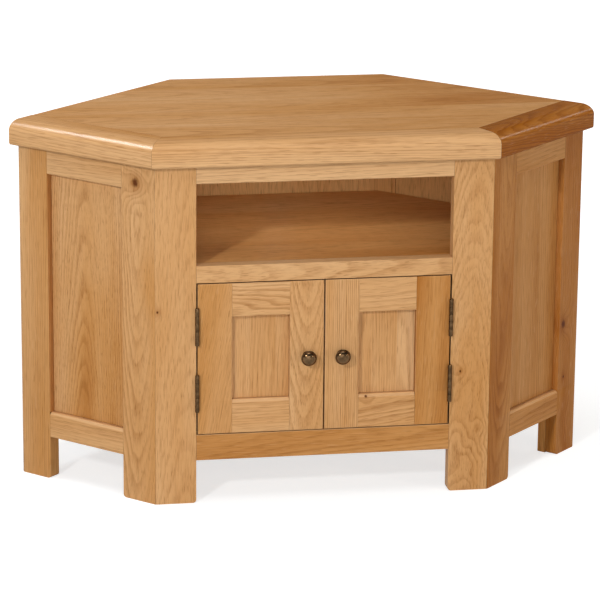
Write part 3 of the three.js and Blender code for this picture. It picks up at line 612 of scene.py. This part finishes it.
# Which edges are eased and by how much, the ridges of the front legs, the ledges under the doors'
# panels, and what counts as a ledge that is painted paler as painted light
EASE_WIDTH, EASE_LEAST, EASE_TURN = 1.1 * MM, 4 * MM, math.radians(35)
RIDGE_EASE, RIDGE_LEAN = 0.7 * MM, math.radians(22.5)
LEDGE_CHAMFER, LEDGE_RISE, LEDGE_AREA = 5 * MM, 0.6, 300 * MM ** 2


def cut(solid, point, outward, take_off=False):
    """Cuts every face on a plane, and takes off what lies outside it if asked to."""
    everything = solid.verts[:] + solid.edges[:] + solid.faces[:]
    bmesh.ops.bisect_plane(
        solid, geom=everything, dist=CUT_NEAR, plane_co=point, plane_no=outward, clear_outer=take_off)


def plane_off(solid, corner, outward, depth):
    """Planes off a corner, square to the way outward and so deep."""
    cut(solid, Vector(corner) - Vector(outward) * depth, outward, take_off=True)
    bmesh.ops.holes_fill(solid, edges=[edge for edge in solid.edges if edge.is_boundary])


def plane_corners(solid, node):
    """Planes a front leg's ridge, where its boards meet in a mitre, and a door's lower ledge."""
    for side, way in (("left", -1), ("right", 1)):
        if node.startswith(f"front_{side}_leg"):
            low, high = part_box(f"front_{side}_leg_front_board")
            ridge = (high.x if way > 0 else low.x, low.y, 0.0)
            outward = (way * math.sin(RIDGE_LEAN), -math.cos(RIDGE_LEAN), 0.0)
            plane_off(solid, ridge, outward, RIDGE_EASE)
    if node.endswith("door_bottom_rail"):
        low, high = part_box(node)
        outward = Vector((0.0, -1.0, 1.0)).normalized()
        plane_off(solid, (0.0, low.y, high.z), outward, LEDGE_CHAMFER * math.sqrt(0.5))


def eased_solid(node, lay, axes, middle):
    """The model's solid with flat faces whole and its free convex edges rounded.

    Gives the mesh, and for each vertex 1 in the middle of a rounded edge, for wear and painted
    highlight, or on a bottom rail's upward face, for painted light, else 0.
    """
    solid = bmesh.new()
    solid.from_mesh(frame["nodes"][node].data)
    bmesh.ops.remove_doubles(solid, verts=solid.verts, dist=ONE_POINT)
    bmesh.ops.dissolve_limit(solid, angle_limit=ONE_FLAT, verts=solid.verts, edges=solid.edges)
    plane_corners(solid, node)
    for level in rail_levels(node) if lay == "upright" else ():
        cut(solid, (0.0, 0.0, level), (0.0, 0.0, 1.0))
    for joint in GLUE_JOINTS.get(node, ()):
        cut(solid, tuple(middle + axes[1] * joint * MM), tuple(axes[1]))

    def wants_easing(edge):
        if len(edge.link_faces) != 2 or edge.calc_length() < EASE_LEAST or not edge.is_convex:
            return False
        return edge.calc_face_angle() >= EASE_TURN and free_edge(edge, node)

    rounded = bmesh.ops.bevel(
        solid, geom=[edge for edge in solid.edges if wants_easing(edge)], offset=EASE_WIDTH,
        offset_type="OFFSET", segments=2, profile=0.5, affect="EDGES", clamp_overlap=True)
    bmesh.ops.recalc_face_normals(solid, faces=solid.faces)
    solid.faces.index_update()
    strips = [face.index for face in rounded["faces"]]
    mesh = bpy.data.meshes.new(node + "_wood")
    solid.to_mesh(mesh)
    solid.free()

    corners, counts = mesh_corners(mesh)
    plain = np.ones(len(counts), bool)
    plain[strips] = False
    wear_and_painted_light_mask = np.ones(len(mesh.vertices))
    wear_and_painted_light_mask[corners[np.repeat(plain, counts)]] = 0.0
    # Painted light: the upward faces of bottom rails, such as the ledges under the doors' panels, are
    # marked to be painted paler
    if node.endswith("bottom_rail"):
        rise = mesh_values(mesh.polygons, "normal", 3)[:, 2]
        ledge = (rise > LEDGE_RISE) & (mesh_values(mesh.polygons, "area") > LEDGE_AREA)
        wear_and_painted_light_mask[corners[np.repeat(ledge, counts)]] = 1.0
    return mesh, wear_and_painted_light_mask


# Metres along the log from board to board and from strip to strip, and the outer strips' width
BOARD_SHIFT, STRIP_SHIFT, OUTER_STRIP = 2.7, 1.3, 0.1

# How glued strips differ: their piths across, in metres, and in depth, and their tones
ACROSS_SPREAD, DEPTH_SPREAD, TONE_SPREAD, SEED = (-0.03, 0.03), (-0.3, 0.6), (-0.22, 0.22), 500


def add_object(name, data):
    """A new object of the scene."""
    made = bpy.data.objects.new(name, data)
    bpy.context.scene.collection.objects.link(made)
    return made


def add_piece(name, mesh, slot, body, replaced, sharp):
    """An object of one material on a body, smooth where faces turn less than the sharp angle."""
    mesh.materials.append(MATERIALS[slot])
    mesh.shade_smooth()
    mesh.set_sharp_from_angle(angle=math.radians(sharp))
    made = add_object(name, mesh)
    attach(made, body)
    if replaced:
        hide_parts(*replaced)
    return made


def dress_board(number, node):
    """Puts a finished board in place of a solid, with its place in the log at every corner.

    The place is the distance from the board's middle along the grain, across it and inward, less
    the pith's and less each slope times the distance along. Glued strips have logs of their own.
    """
    wall, lay, slot, tone, swirl, contrast, pith_across, pith_in, *slopes = BOARDS[node]
    axes = lay_axes(wall, lay)
    low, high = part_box(node)
    middle = (np.array(low) + np.array(high)) / 2
    mesh, wear_and_painted_light_mask = eased_solid(node, lay, axes, middle)
    corners, counts = mesh_corners(mesh)
    spots = mesh_values(mesh.vertices, "co", 3)[corners].astype(float)
    local = (spots - middle) @ axes.T
    joints = np.array(GLUE_JOINTS.get(node, ()), float) * MM
    across = (mesh_values(mesh.polygons, "center", 3) - middle) @ axes[1]
    strip = np.repeat(np.searchsorted(joints, across), counts)

    chance = np.random.default_rng(SEED + number)
    strips = len(joints) + 1
    glued = float(strips > 1)
    side = chance.choice([-1.0, 1.0], strips) * glued + (1.0 - glued)
    edges = np.zeros(2)
    if strips > 1:
        edges = np.concatenate([joints[:1] - OUTER_STRIP, joints, joints[-1:] + OUTER_STRIP])
    sideways = (edges[:-1] + edges[1:]) / 2 + side * pith_across * MM
    sideways += glued * chance.uniform(*ACROSS_SPREAD, strips)
    depths = pith_in * MM * (1.0 + glued * chance.uniform(*DEPTH_SPREAD, strips))
    tones = tone + glued * chance.uniform(*TONE_SPREAD, strips)
    shift = BOARD_SHIFT * number + STRIP_SHIFT * np.arange(strips)
    pith = np.column_stack([-shift, sideways, depths])
    nature = np.column_stack([tones, np.full((strips, 2), (swirl, contrast))])
    places = {
        "log": local - pith[strip] - local[:, :1] * (0.0, *(slopes or PLAIN_SLOPES)),
        "nature": nature[strip],
    }

    for name, table in MARKS.items():
        places[name] = np.full(spots.shape, FAR)
        if node in table:
            mark = np.array(table[node]) * MM
            places[name] = (spots - mark[:3]) @ axes.T / (mark[[3, 4, 4]] if len(mark) > 3 else 1.0)
    for name, values in places.items():
        add_values(mesh, name, "CORNER", values)
    # Painted shade for faces in narrow gaps, then the edge mask of wear, painted highlight and painted
    # light
    add_values(mesh, "gap_shade", "FACE", painted_gap_shade_faces(mesh, node))
    add_values(mesh, "edge", "POINT", wear_and_painted_light_mask)

    board = add_piece(node + "_board", mesh, slot, frame["nodes"][node]["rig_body"], [node], sharp=38)
    flat = board.modifiers.new("flat_faces_stay_flat", "WEIGHTED_NORMAL")
    flat.keep_sharp = True
    flat.weight = 100


for number, node in enumerate(BOARDS):
    dress_board(number, node)


# Metal pieces: surfaces on grids

def grid_faces(rows, columns):
    """Quads between rings, where a row is a ring and the columns go round."""
    row, column = np.meshgrid(np.arange(rows - 1), np.arange(columns), indexing="ij")
    after = (column + 1) % columns
    near, far = row * columns, (row + 1) * columns
    return np.stack([near + column, near + after, far + after, far + column]).reshape(4, -1).T


# How near points of a metal piece are one, and how many a round corner has
METAL_POINT, CORNER_POINTS = 2e-6, 6


def piece(name, shells, slot, body, replaced=(), sharp=35):
    """Makes one piece from shells, each its rings' points and how worn each ring is."""
    points, faces, worn, first = [], [], [], 0
    for rings, wear in shells:
        rows, columns = rings.shape[:2]
        points.append(rings.reshape(-1, 3))
        worn.append(np.broadcast_to(np.reshape(wear, (-1, 1)), (rows, columns)).ravel())
        ring = np.arange(columns) + first
        faces.extend((grid_faces(rows, columns) + first).tolist())
        faces.append(ring[::-1].tolist())
        faces.append((ring + (rows - 1) * columns).tolist())
        first += rows * columns
    mesh = bpy.data.meshes.new(name)
    mesh.from_pydata(np.concatenate(points).tolist(), [], faces)
    add_values(mesh, "worn", "POINT", np.concatenate(worn))
    clean = bmesh.new()
    clean.from_mesh(mesh)
    bmesh.ops.remove_doubles(clean, verts=clean.verts, dist=METAL_POINT)
    bmesh.ops.dissolve_degenerate(clean, edges=clean.edges, dist=METAL_POINT)
    bmesh.ops.recalc_face_normals(clean, faces=clean.faces)
    clean.to_mesh(mesh)
    clean.free()
    add_piece(name, mesh, slot, body, replaced, sharp)


def square_to(axis):
    """Two unit vectors at right angles to an axis and to each other."""
    side = np.cross(axis, [0.0, 0.0, 1.0] if abs(axis[2]) < 0.9 else [1.0, 0.0, 0.0])
    side /= np.linalg.norm(side)
    return side, np.cross(axis, side)


def turned(profile, centre, axis, steps):
    """Rings of a turned shape: each (height, radius) of the profile goes round the axis."""
    side, other = square_to(axis)
    turn = np.linspace(0, 2 * np.pi, steps, endpoint=False)[:, None]
    ring = np.cos(turn) * side + np.sin(turn) * other
    heights, radii = np.array(profile, float).T[..., None, None]
    return np.array(centre) + heights * np.array(axis, float) + radii * ring


def arc(centre, radii, start, end, count):
    """Points of a part of an ellipse, as (height, radius) pairs."""
    turn = np.radians(np.linspace(start, end, count))
    return np.stack([centre[0] + radii[0] * np.sin(turn), centre[1] + radii[1] * np.cos(turn)], axis=1)


def rounded_outline(width, height, radius):
    """A rectangle's outline with round corners, about its own middle."""
    turn = np.linspace(0, np.pi / 2, CORNER_POINTS)
    quarter = np.stack([np.cos(turn), np.sin(turn)], axis=1) * radius
    reach = np.array([width, height]) / 2 - radius
    parts = []
    for k, ways in enumerate(((1, 1), (-1, 1), (-1, -1), (1, -1))):
        cosine, sine = math.cos(k * math.pi / 2), math.sin(k * math.pi / 2)
        parts.append(quarter @ np.array([[cosine, sine], [-sine, cosine]]) + reach * ways)
    return np.concatenate(parts)


def plate(centre, across, out, width, height, thickness, radius, ease):
    """Rings of an upright plate with round corners and eased edges, from its back face outwards."""
    face, out = np.array([across, (0, 0, 1)], float), np.array(out, float)
    rings = []
    for inset, level in ((ease, 0.0), (0.0, ease), (0.0, thickness - ease), (ease, thickness)):
        flat = rounded_outline(width - 2 * inset, height - 2 * inset, radius - inset)
        rings.append(np.array(centre) + flat @ face + level * out)
    return np.array(rings), [0.6, 1.0, 1.0, 0.2]


# A screw's cross, in shares of the head's radius, and how deep the head's rim stands in its hole
CROSS_BAR, CROSS_REACH, RIM_DEPTH = 0.17, 0.66, 0.2 * MM


def screw_head(centre, out, radius, rise, slot_depth, steps=40):
    """Rings of a screw's head: a low dome with a cross cut in it, from its rim to its middle.

    Its height is the rise times 1 less 0.7 of the square of the share of the radius, less the
    slot's depth inside either bar of the cross.
    """
    side, other = square_to(out)
    shares = np.concatenate([[1.0, 1.0], np.linspace(0.95, 0.0, 14)])[:, None]
    turn = np.linspace(0, 2 * np.pi, steps, endpoint=False)
    x, y = shares * np.cos(turn) * radius, shares * np.sin(turn) * radius
    bar, reach = CROSS_BAR * radius, CROSS_REACH * radius
    crossed = ((abs(x) < bar) & (abs(y) < reach)) | ((abs(y) < bar) & (abs(x) < reach))
    dome = rise * (1 - 0.7 * shares ** 2)
    height = np.where(crossed, dome - slot_depth, dome)
    height[0] = -RIM_DEPTH
    ways = np.array([side, other, out], float)
    rings = np.array(centre) + np.stack([x, y, height], axis=-1) @ ways
    return rings, np.linspace(0.9, 0.3, len(shares))


def bowed(start, pull, end):
    """A quadratic curve between two (height, radius) pairs, pulled by a third, less its start."""
    share = np.linspace(0, 1, 14)[1:, None]
    return (1 - share) ** 2 * start + 2 * share * (1 - share) * pull + share ** 2 * end


# A knob in mm: radii, the height of its dome's foot, and at heights from the door how worn it is,
# with a painted highlight round the dome's shoulder
FLANGE, NECK, RIM, DOME_FOOT = 8.0, 5.0, 13.0, 17.6
KNOB_HEIGHTS = (0, 2, 4, 12, 15.5, 16.4, 17.5, 18.0, 19.5, 22, 24)
KNOB_WEAR_AND_HIGHLIGHT = (0.5, 0.6, 0.1, 0.0, 0.0, 0.2, 0.0, 0.0, 0.7, 0.45, 0.1)


def knob_profile(reach):
    """(Height, radius) in mm of a mushroom knob: flange, hollow neck, beaded rim and low dome."""
    flange = arc((1.1, FLANGE - 0.9), (0.9, 0.9), 0, 90, 5)
    neck = bowed(flange[-1], np.array([2.2, NECK]), np.array([9.2, NECK]))
    under = bowed(neck[-1], np.array([15.2, NECK]), np.array([15.9, RIM - 0.8]))
    bead = arc((16.9, RIM - 0.95), (0.95, 0.95), -70, 75, 9)
    dome = arc((DOME_FOOT, 0.0), (reach - DOME_FOOT, RIM - 1.5), 3, 90, 20)
    back, step_in = [(0.0, 0.0), (0.0, FLANGE)], [(17.75, RIM - 1.3)]
    return np.concatenate([back, flange, neck, under, bead, step_in, dome])


def make_knob(side):
    """A mushroom knob, and the screw that holds it through the door."""
    low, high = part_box(f"{side}_knob")
    stile_low, stile_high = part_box(f"{side}_door_meeting_stile")
    x, z = (low.x + high.x) / 2, (low.z + high.z) / 2
    back, inner = stile_low.y - 0.3 * MM, stile_high.y
    profile = knob_profile((back - low.y) / MM)
    shell = turned(profile * MM, (x, back, z), (0, -1, 0), 72)
    # Wear, and a painted highlight round the dome's shoulder
    worn = np.interp(profile[:, 0], KNOB_HEIGHTS, KNOB_WEAR_AND_HIGHLIGHT)
    piece(f"{side}_mushroom_knob", [(shell, worn)], "aged_brass", f"{side}_door", [f"{side}_knob"])
    head = screw_head((x, inner + 0.5 * MM, z), (0, 1, 0), 4.3 * MM, 2.1 * MM, 1.0 * MM)
    shank = np.array([(-21, 0), (-21, 1.9), (0.2, 1.9), (0.2, 0)]) * MM
    shank = turned(shank, (x, inner, z), (0, 1, 0), 24)
    piece(f"{side}_knob_screw", [head, (shank, 0.3)], "steel", f"{side}_door")


# Hinges: barrel and knuckles, leaves, pin, and the height and inset of each leaf's three screws
HINGE_HEIGHT, KNUCKLES, BARREL_RADIUS = 63.5 * MM, 5, 3.5 * MM
KNUCKLE_GAP, KNUCKLE_EASE = 0.3 * MM, 0.35 * MM
LEAF_THICKNESS, LEAF_CORNER, LEAF_EASE, LEAF_GAP = 0.8 * MM, 1.6 * MM, 0.15 * MM, 0.1 * MM
PIN_RADIUS, PIN_HEAD_RADIUS, PIN_HEAD_RISE = 1.6 * MM, 2.6 * MM, 1.3 * MM
HINGE_SCREWS = ((-22 * MM, 5.6 * MM), (0.0, 3.4 * MM), (22 * MM, 5.6 * MM))


def knuckle(centre, height):
    """One knuckle of a hinge with eased ends, and its wear."""
    radius, ease = BARREL_RADIUS, KNUCKLE_EASE
    foot = [(0, 0), (0, radius - ease), (ease * 0.3, radius - ease * 0.3), (ease, radius)]
    head = [(height - level, reach) for level, reach in reversed(foot)]
    return turned(foot + head, centre, (0, 0, 1), 40), [0, 0.1, 0.4, 0.12, 0.12, 0.4, 0.1, 0]


def make_hinge(side, place, way):
    """A butt hinge: two leaves with their knuckles and screws, and the pin with its round head."""
    low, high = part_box(f"{side}_{place}_hinge_door_leaf")
    x, y, bottom, back = (low.x + high.x) / 2, low.y + BARREL_RADIUS, low.z, high.y
    middle, pitch = bottom + HINGE_HEIGHT / 2, HINGE_HEIGHT / KNUCKLES
    for leaf, first, outward, body in (("frame", 0, -way, "cabinet"), ("door", 1, way, f"{side}_door")):
        face = x + outward * LEAF_GAP
        shells = [plate(
            (face, (y + back) / 2, middle), (0, 1, 0), (outward, 0, 0), back - y, HINGE_HEIGHT,
            LEAF_THICKNESS, LEAF_CORNER, LEAF_EASE)]
        for k in range(first, KNUCKLES, 2):
            shells.append(knuckle((x, y, bottom + k * pitch), pitch - KNUCKLE_GAP))
        name = f"{side}_{place}_hinge_{leaf}_leaf"
        piece(name + "_plate", shells, "aged_brass", body, [name])
        heads = []
        for rise, inset in HINGE_SCREWS:
            centre = (face, back - inset, middle + rise)
            heads.append(screw_head(centre, (-outward, 0, 0), 2.7 * MM, 0.06 * MM, 0.35 * MM, 32))
        piece(name + "_screws", heads, "aged_brass", body)
    foot, neck = 0.05 * MM, HINGE_HEIGHT - 0.2 * MM
    cap = arc((HINGE_HEIGHT + 0.2 * MM, 0.0), (PIN_HEAD_RISE, PIN_HEAD_RADIUS), 0, 90, 8)
    stem = [(foot, 0.0), (foot, PIN_RADIUS), (neck, PIN_RADIUS), (neck, PIN_HEAD_RADIUS)]
    profile = np.concatenate([stem, cap])
    pin = turned(profile, (x, y, bottom), (0, 0, 1), 32)
    worn = np.linspace(0.2, 1.0, len(profile))
    piece(f"{side}_{place}_hinge_pin", [(pin, worn)], "aged_brass", "cabinet")


def make_strike_plate(side):
    """The plate that the catch holds a door by, with its two screws."""
    low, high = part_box(f"{side}_strike_plate")
    x, z = (low.x + high.x) / 2, (low.z + high.z) / 2
    ease, out = 0.25 * MM, (0, 1, 0)
    shells = [plate(
        (x, low.y, z), (1, 0, 0), out, high.x - low.x, high.z - low.z,
        high.y - low.y - ease, 2.5 * MM, ease)]
    for offset in (-7.5 * MM, 7.5 * MM):
        centre = (x + offset, high.y - 0.3 * MM, z)
        shells.append(screw_head(centre, out, 2.3 * MM, 0.3 * MM, 0.35 * MM, 32))
    piece(f"{side}_strike", shells, "steel", f"{side}_door", [f"{side}_strike_plate"])


# The catch in mm: inset and level of each ring of its case, the radius of the case's corners, how
# far the poles stand out, and where they stand across
CASE_RINGS = (
    (2.4, 0.0), (1.0, 0.3), (0.3, 1.0), (0.0, 2.4), (0.0, 9.0), (0.5, 9.4), (0.5, 10.4),
    (0.0, 10.8), (0.0, 22.2), (0.3, 23.2), (1.0, 23.7), (1.8, 24.0),
)
CASE_CORNER, POLES_OUT, POLES_AT = 3.2, 1.0, (-23, -13, 13, 23)


def make_catch():
    """Magnet catch: a moulded case with round corners, four poles, and a screw up into the shelf."""
    low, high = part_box("magnet_catch")
    front = low.y + POLES_OUT * MM
    x, y = (low.x + high.x) / 2, (front + high.y) / 2
    rings = []
    for inset, level in CASE_RINGS:
        less = 2 * inset * MM
        flat = rounded_outline(high.x - low.x - less, high.y - front - less, (CASE_CORNER - inset) * MM)
        rings.append(np.column_stack([flat + (x, y), np.full(len(flat), low.z + level * MM)]))
    worn = np.linspace(0.6, 0.2, len(rings))
    case = [(np.array(rings), worn)]
    piece("magnet_catch_case", case, "catch_body", "cabinet", ["magnet_catch"], sharp=50)
    poles = []
    for offset in POLES_AT:
        centre = (x + offset * MM, front + 2 * MM, low.z + 5.5 * MM)
        poles.append(plate(
            centre, (1, 0, 0), (0, -1, 0), 3 * MM, 8 * MM, 3 * MM, 0.5 * MM, 0.2 * MM))
    piece("magnet_catch_poles", poles, "steel", "cabinet")
    head = screw_head((x, y + 1 * MM, low.z + 0.1 * MM), (0, 0, -1), 3.0 * MM, 0.0, 0.5 * MM)
    piece("magnet_catch_screw", [head], "steel", "cabinet")


# How far the batten lies under the shelf's top, and where a row of screws begins and ends
BATTEN_DEPTH, SCREWS_FROM, SCREWS_TO = 19 * MM, 0.12, 0.88


def make_cleat_screws(node, wall, name, count):
    """Countersunk screws in a row along the inner face of a cleat or of the shelf's batten."""
    along, inward, up = wall_axes(wall)
    points = mesh_values(frame["nodes"][node].data.vertices, "co", 3).astype(float)
    if node == "shelf_rear_board":
        points = points[points[:, 2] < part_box(node)[1].z - BATTEN_DEPTH]
    lengths, depths, levels = points @ along, points @ inward, points[:, 2]
    row = inward * (depths.max() - 0.15 * MM) + up * ((levels.min() + levels.max()) / 2)
    heads = []
    for share in np.linspace(SCREWS_FROM, SCREWS_TO, count):
        spot = lengths.min() + share * (lengths.max() - lengths.min())
        heads.append(screw_head(along * spot + row, inward, 3.6 * MM, 0.35 * MM, 0.6 * MM))
    piece(name, heads, "steel", "cabinet")


for side, way in (("left", 1), ("right", -1)):
    make_knob(side)
    for place in ("lower", "upper"):
        make_hinge(side, place, way)
    make_strike_plate(side)
    make_cleat_screws(f"{side}_shelf_cleat", f"{side}_side", f"{side}_cleat_screws", 3)
make_catch()
make_cleat_screws("shelf_rear_board", "back", "batten_screws", 4)


# Studio: floor, lights and camera. The floor glows less near the cabinet, as painted shade round
# it, and more further off, where the lamps light it less.
FLOOR_REACH = 60.0
NEAR_GLOW, MORE_GLOW, GLOW_FROM, GLOW_TO = 0.68, 0.36, 0.6, 2.4


def plain_floor():
    """A pale floor that shows as white, a little darker in the cabinet's shadow, and with painted shade
    round the cabinet, where it glows less.
    """
    mesh = bpy.data.meshes.new("floor")
    ways = ((-1, -1), (1, -1), (1, 1), (-1, 1))
    mesh.from_pydata([(x * FLOOR_REACH, y * FLOOR_REACH, 0) for x, y in ways], [], [(0, 1, 2, 3)])
    floor = add_object("floor", mesh)
    material = bpy.data.materials.new("pale_floor")
    tree = empty_tree(material)
    paths = put(tree, "LightPath")
    mirrored = reckon(tree, "MAXIMUM", paths["Is Glossy Ray"], paths["Is Transmission Ray"])
    seen = reckon(tree, "MAXIMUM", paths["Is Camera Ray"], mirrored)
    place = put(tree, "TexCoord")["Object"]
    speckle = weigh(tree, (noise(tree, place, (90.0, 90.0, 90.0)), 0.2), (0.5, 1.0))
    # Painted shade: the glow is lowest near the cabinet and rises between GLOW_FROM and GLOW_TO metres
    # away
    away = step(tree, reckon_vector(tree, "LENGTH", place), GLOW_FROM, GLOW_TO)
    strength = reckon(tree, "MULTIPLY_ADD", away, MORE_GLOW, NEAR_GLOW)
    glow = put(tree, "Emission", {"Color": (1, 1, 1, 1), "Strength": strength})[0]
    shadow_catching = blend(tree, speckle, (0.52, 0.54, 0.555, 1.0), (0.54, 0.56, 0.575, 1.0))
    as_seen = put(tree, "BsdfDiffuse", {"Color": shadow_catching})[0]
    pale = blend(tree, speckle, (0.58, 0.58, 0.57, 1.0), (0.62, 0.62, 0.61, 1.0))
    as_lighting = put(tree, "BsdfDiffuse", {"Color": pale})[0]
    both = put(tree, "AddShader", {0: as_seen, 1: glow})[0]
    mixed = put(tree, "MixShader", {0: seen, 1: as_lighting, 2: both})[0]
    put(tree, "OutputMaterial", {"Surface": mixed})
    mesh.materials.append(material)


def studio_world():
    """A white backdrop round the floor's edge, and a dim room above it."""
    world = bpy.data.worlds.new("studio")
    bpy.context.scene.world = world
    tree = empty_tree(world)
    rise = put(tree, "SeparateXYZ", {0: put(tree, "TexCoord")["Generated"]})[2]
    colour = blend(tree, step(tree, rise, 0.10, 0.22), (1.0, 1.0, 1.0, 1.0), (0.13, 0.13, 0.13, 1.0))
    even = put(tree, "Background", {"Color": colour, "Strength": 1.0})[0]
    put(tree, "OutputWorld", {"Surface": even})


LAMPS_AIM = Vector((0, 0, 0.33))


def lamp(name, side, elevation, distance, width, height, level, colour=(1, 1, 1), gloss_only=False):
    """An area lamp that shines at the cabinet's middle from an angle left (-) or right (+) of the
    front and above the floor. Level is how bright it makes a white surface that faces it."""
    light = bpy.data.lights.new(name, "AREA")
    light.shape = "RECTANGLE"
    light.size, light.size_y = width, height
    light.energy = level * math.pi ** 2 * distance ** 2
    light.color = colour
    turn, tilt = math.radians(side), math.radians(elevation)
    out = Vector((math.sin(turn) * math.cos(tilt), -math.cos(turn) * math.cos(tilt), math.sin(tilt)))
    holder = add_object(name, light)
    holder.location = LAMPS_AIM + out * distance
    holder.rotation_mode = "QUATERNION"
    holder.rotation_quaternion = out.to_track_quat("Z", "Y")
    holder.visible_diffuse = not gloss_only


# The camera as solved from the cabinet's corners in the photograph: how far it turns right, looks
# down and leans, its place in mm, and the focal length and width in pixels
CAMERA_DEGREES = (9.79, 15.60, 0.51)
CAMERA_PLACE = (-873.36, -5060.7, 1709.63)
FOCAL_PIXELS, PICTURE_PIXELS, SENSOR = 3090.32, 600, 36.0


def photo_camera():
    """The photograph's camera."""
    yaw, pitch, roll = (math.radians(degrees) for degrees in CAMERA_DEGREES)
    ahead = Vector((math.sin(yaw) * math.cos(pitch), math.cos(yaw) * math.cos(pitch), -math.sin(pitch)))
    level = Vector((math.cos(yaw), -math.sin(yaw), 0))
    above = level.cross(ahead)
    right = level * math.cos(roll) + above * math.sin(roll)
    top = above * math.cos(roll) - level * math.sin(roll)
    data = bpy.data.cameras.new("photo_camera")
    data.sensor_width = SENSOR
    data.lens = SENSOR * FOCAL_PIXELS / PICTURE_PIXELS
    data.clip_end = 200.0
    camera = add_object("photo_camera", data)
    camera.rotation_mode = "QUATERNION"
    camera.rotation_quaternion = Matrix((right, top, -ahead)).transposed().to_quaternion()
    camera.location = Vector(CAMERA_PLACE) * MM
    bpy.context.scene.camera = camera


plain_floor()
studio_world()
lamp("key_lamp", -34, 26, 4.5, 0.3, 0.3, 0.36, (1.0, 0.985, 0.955))
lamp("front_softbox", -5, 9, 4.5, 2.4, 1.3, 0.18, (1.0, 0.985, 0.96))
lamp("fill_lamp", 46, 14, 4.5, 0.3, 0.3, 0.10, (1.0, 0.88, 0.72))
lamp("warm_bounce", 82, 8, 3.5, 1.5, 1.0, 0.045, (1.0, 0.50, 0.10))
lamp("overhead_softbox", 0, 72, 4.0, 2.2, 2.2, 0.28, (1.0, 0.99, 0.97))
lamp("rim_lamp", -109, 52, 3.0, 1.5, 0.14, 0.28)
lamp("gleam_lamp", -118, 54, 3.0, 1.5, 0.14, 1.0, gloss_only=True)
lamp("rear_right_lamp", 116, 34, 4.0, 0.25, 0.8, 0.12, (1.0, 0.97, 0.92))
lamp("bay_lamp", -12, 82, 0.215, 0.38, 0.26, 0.3, (1.0, 0.94, 0.87))
photo_camera()

bpy.context.scene.view_settings.view_transform = "Standard"
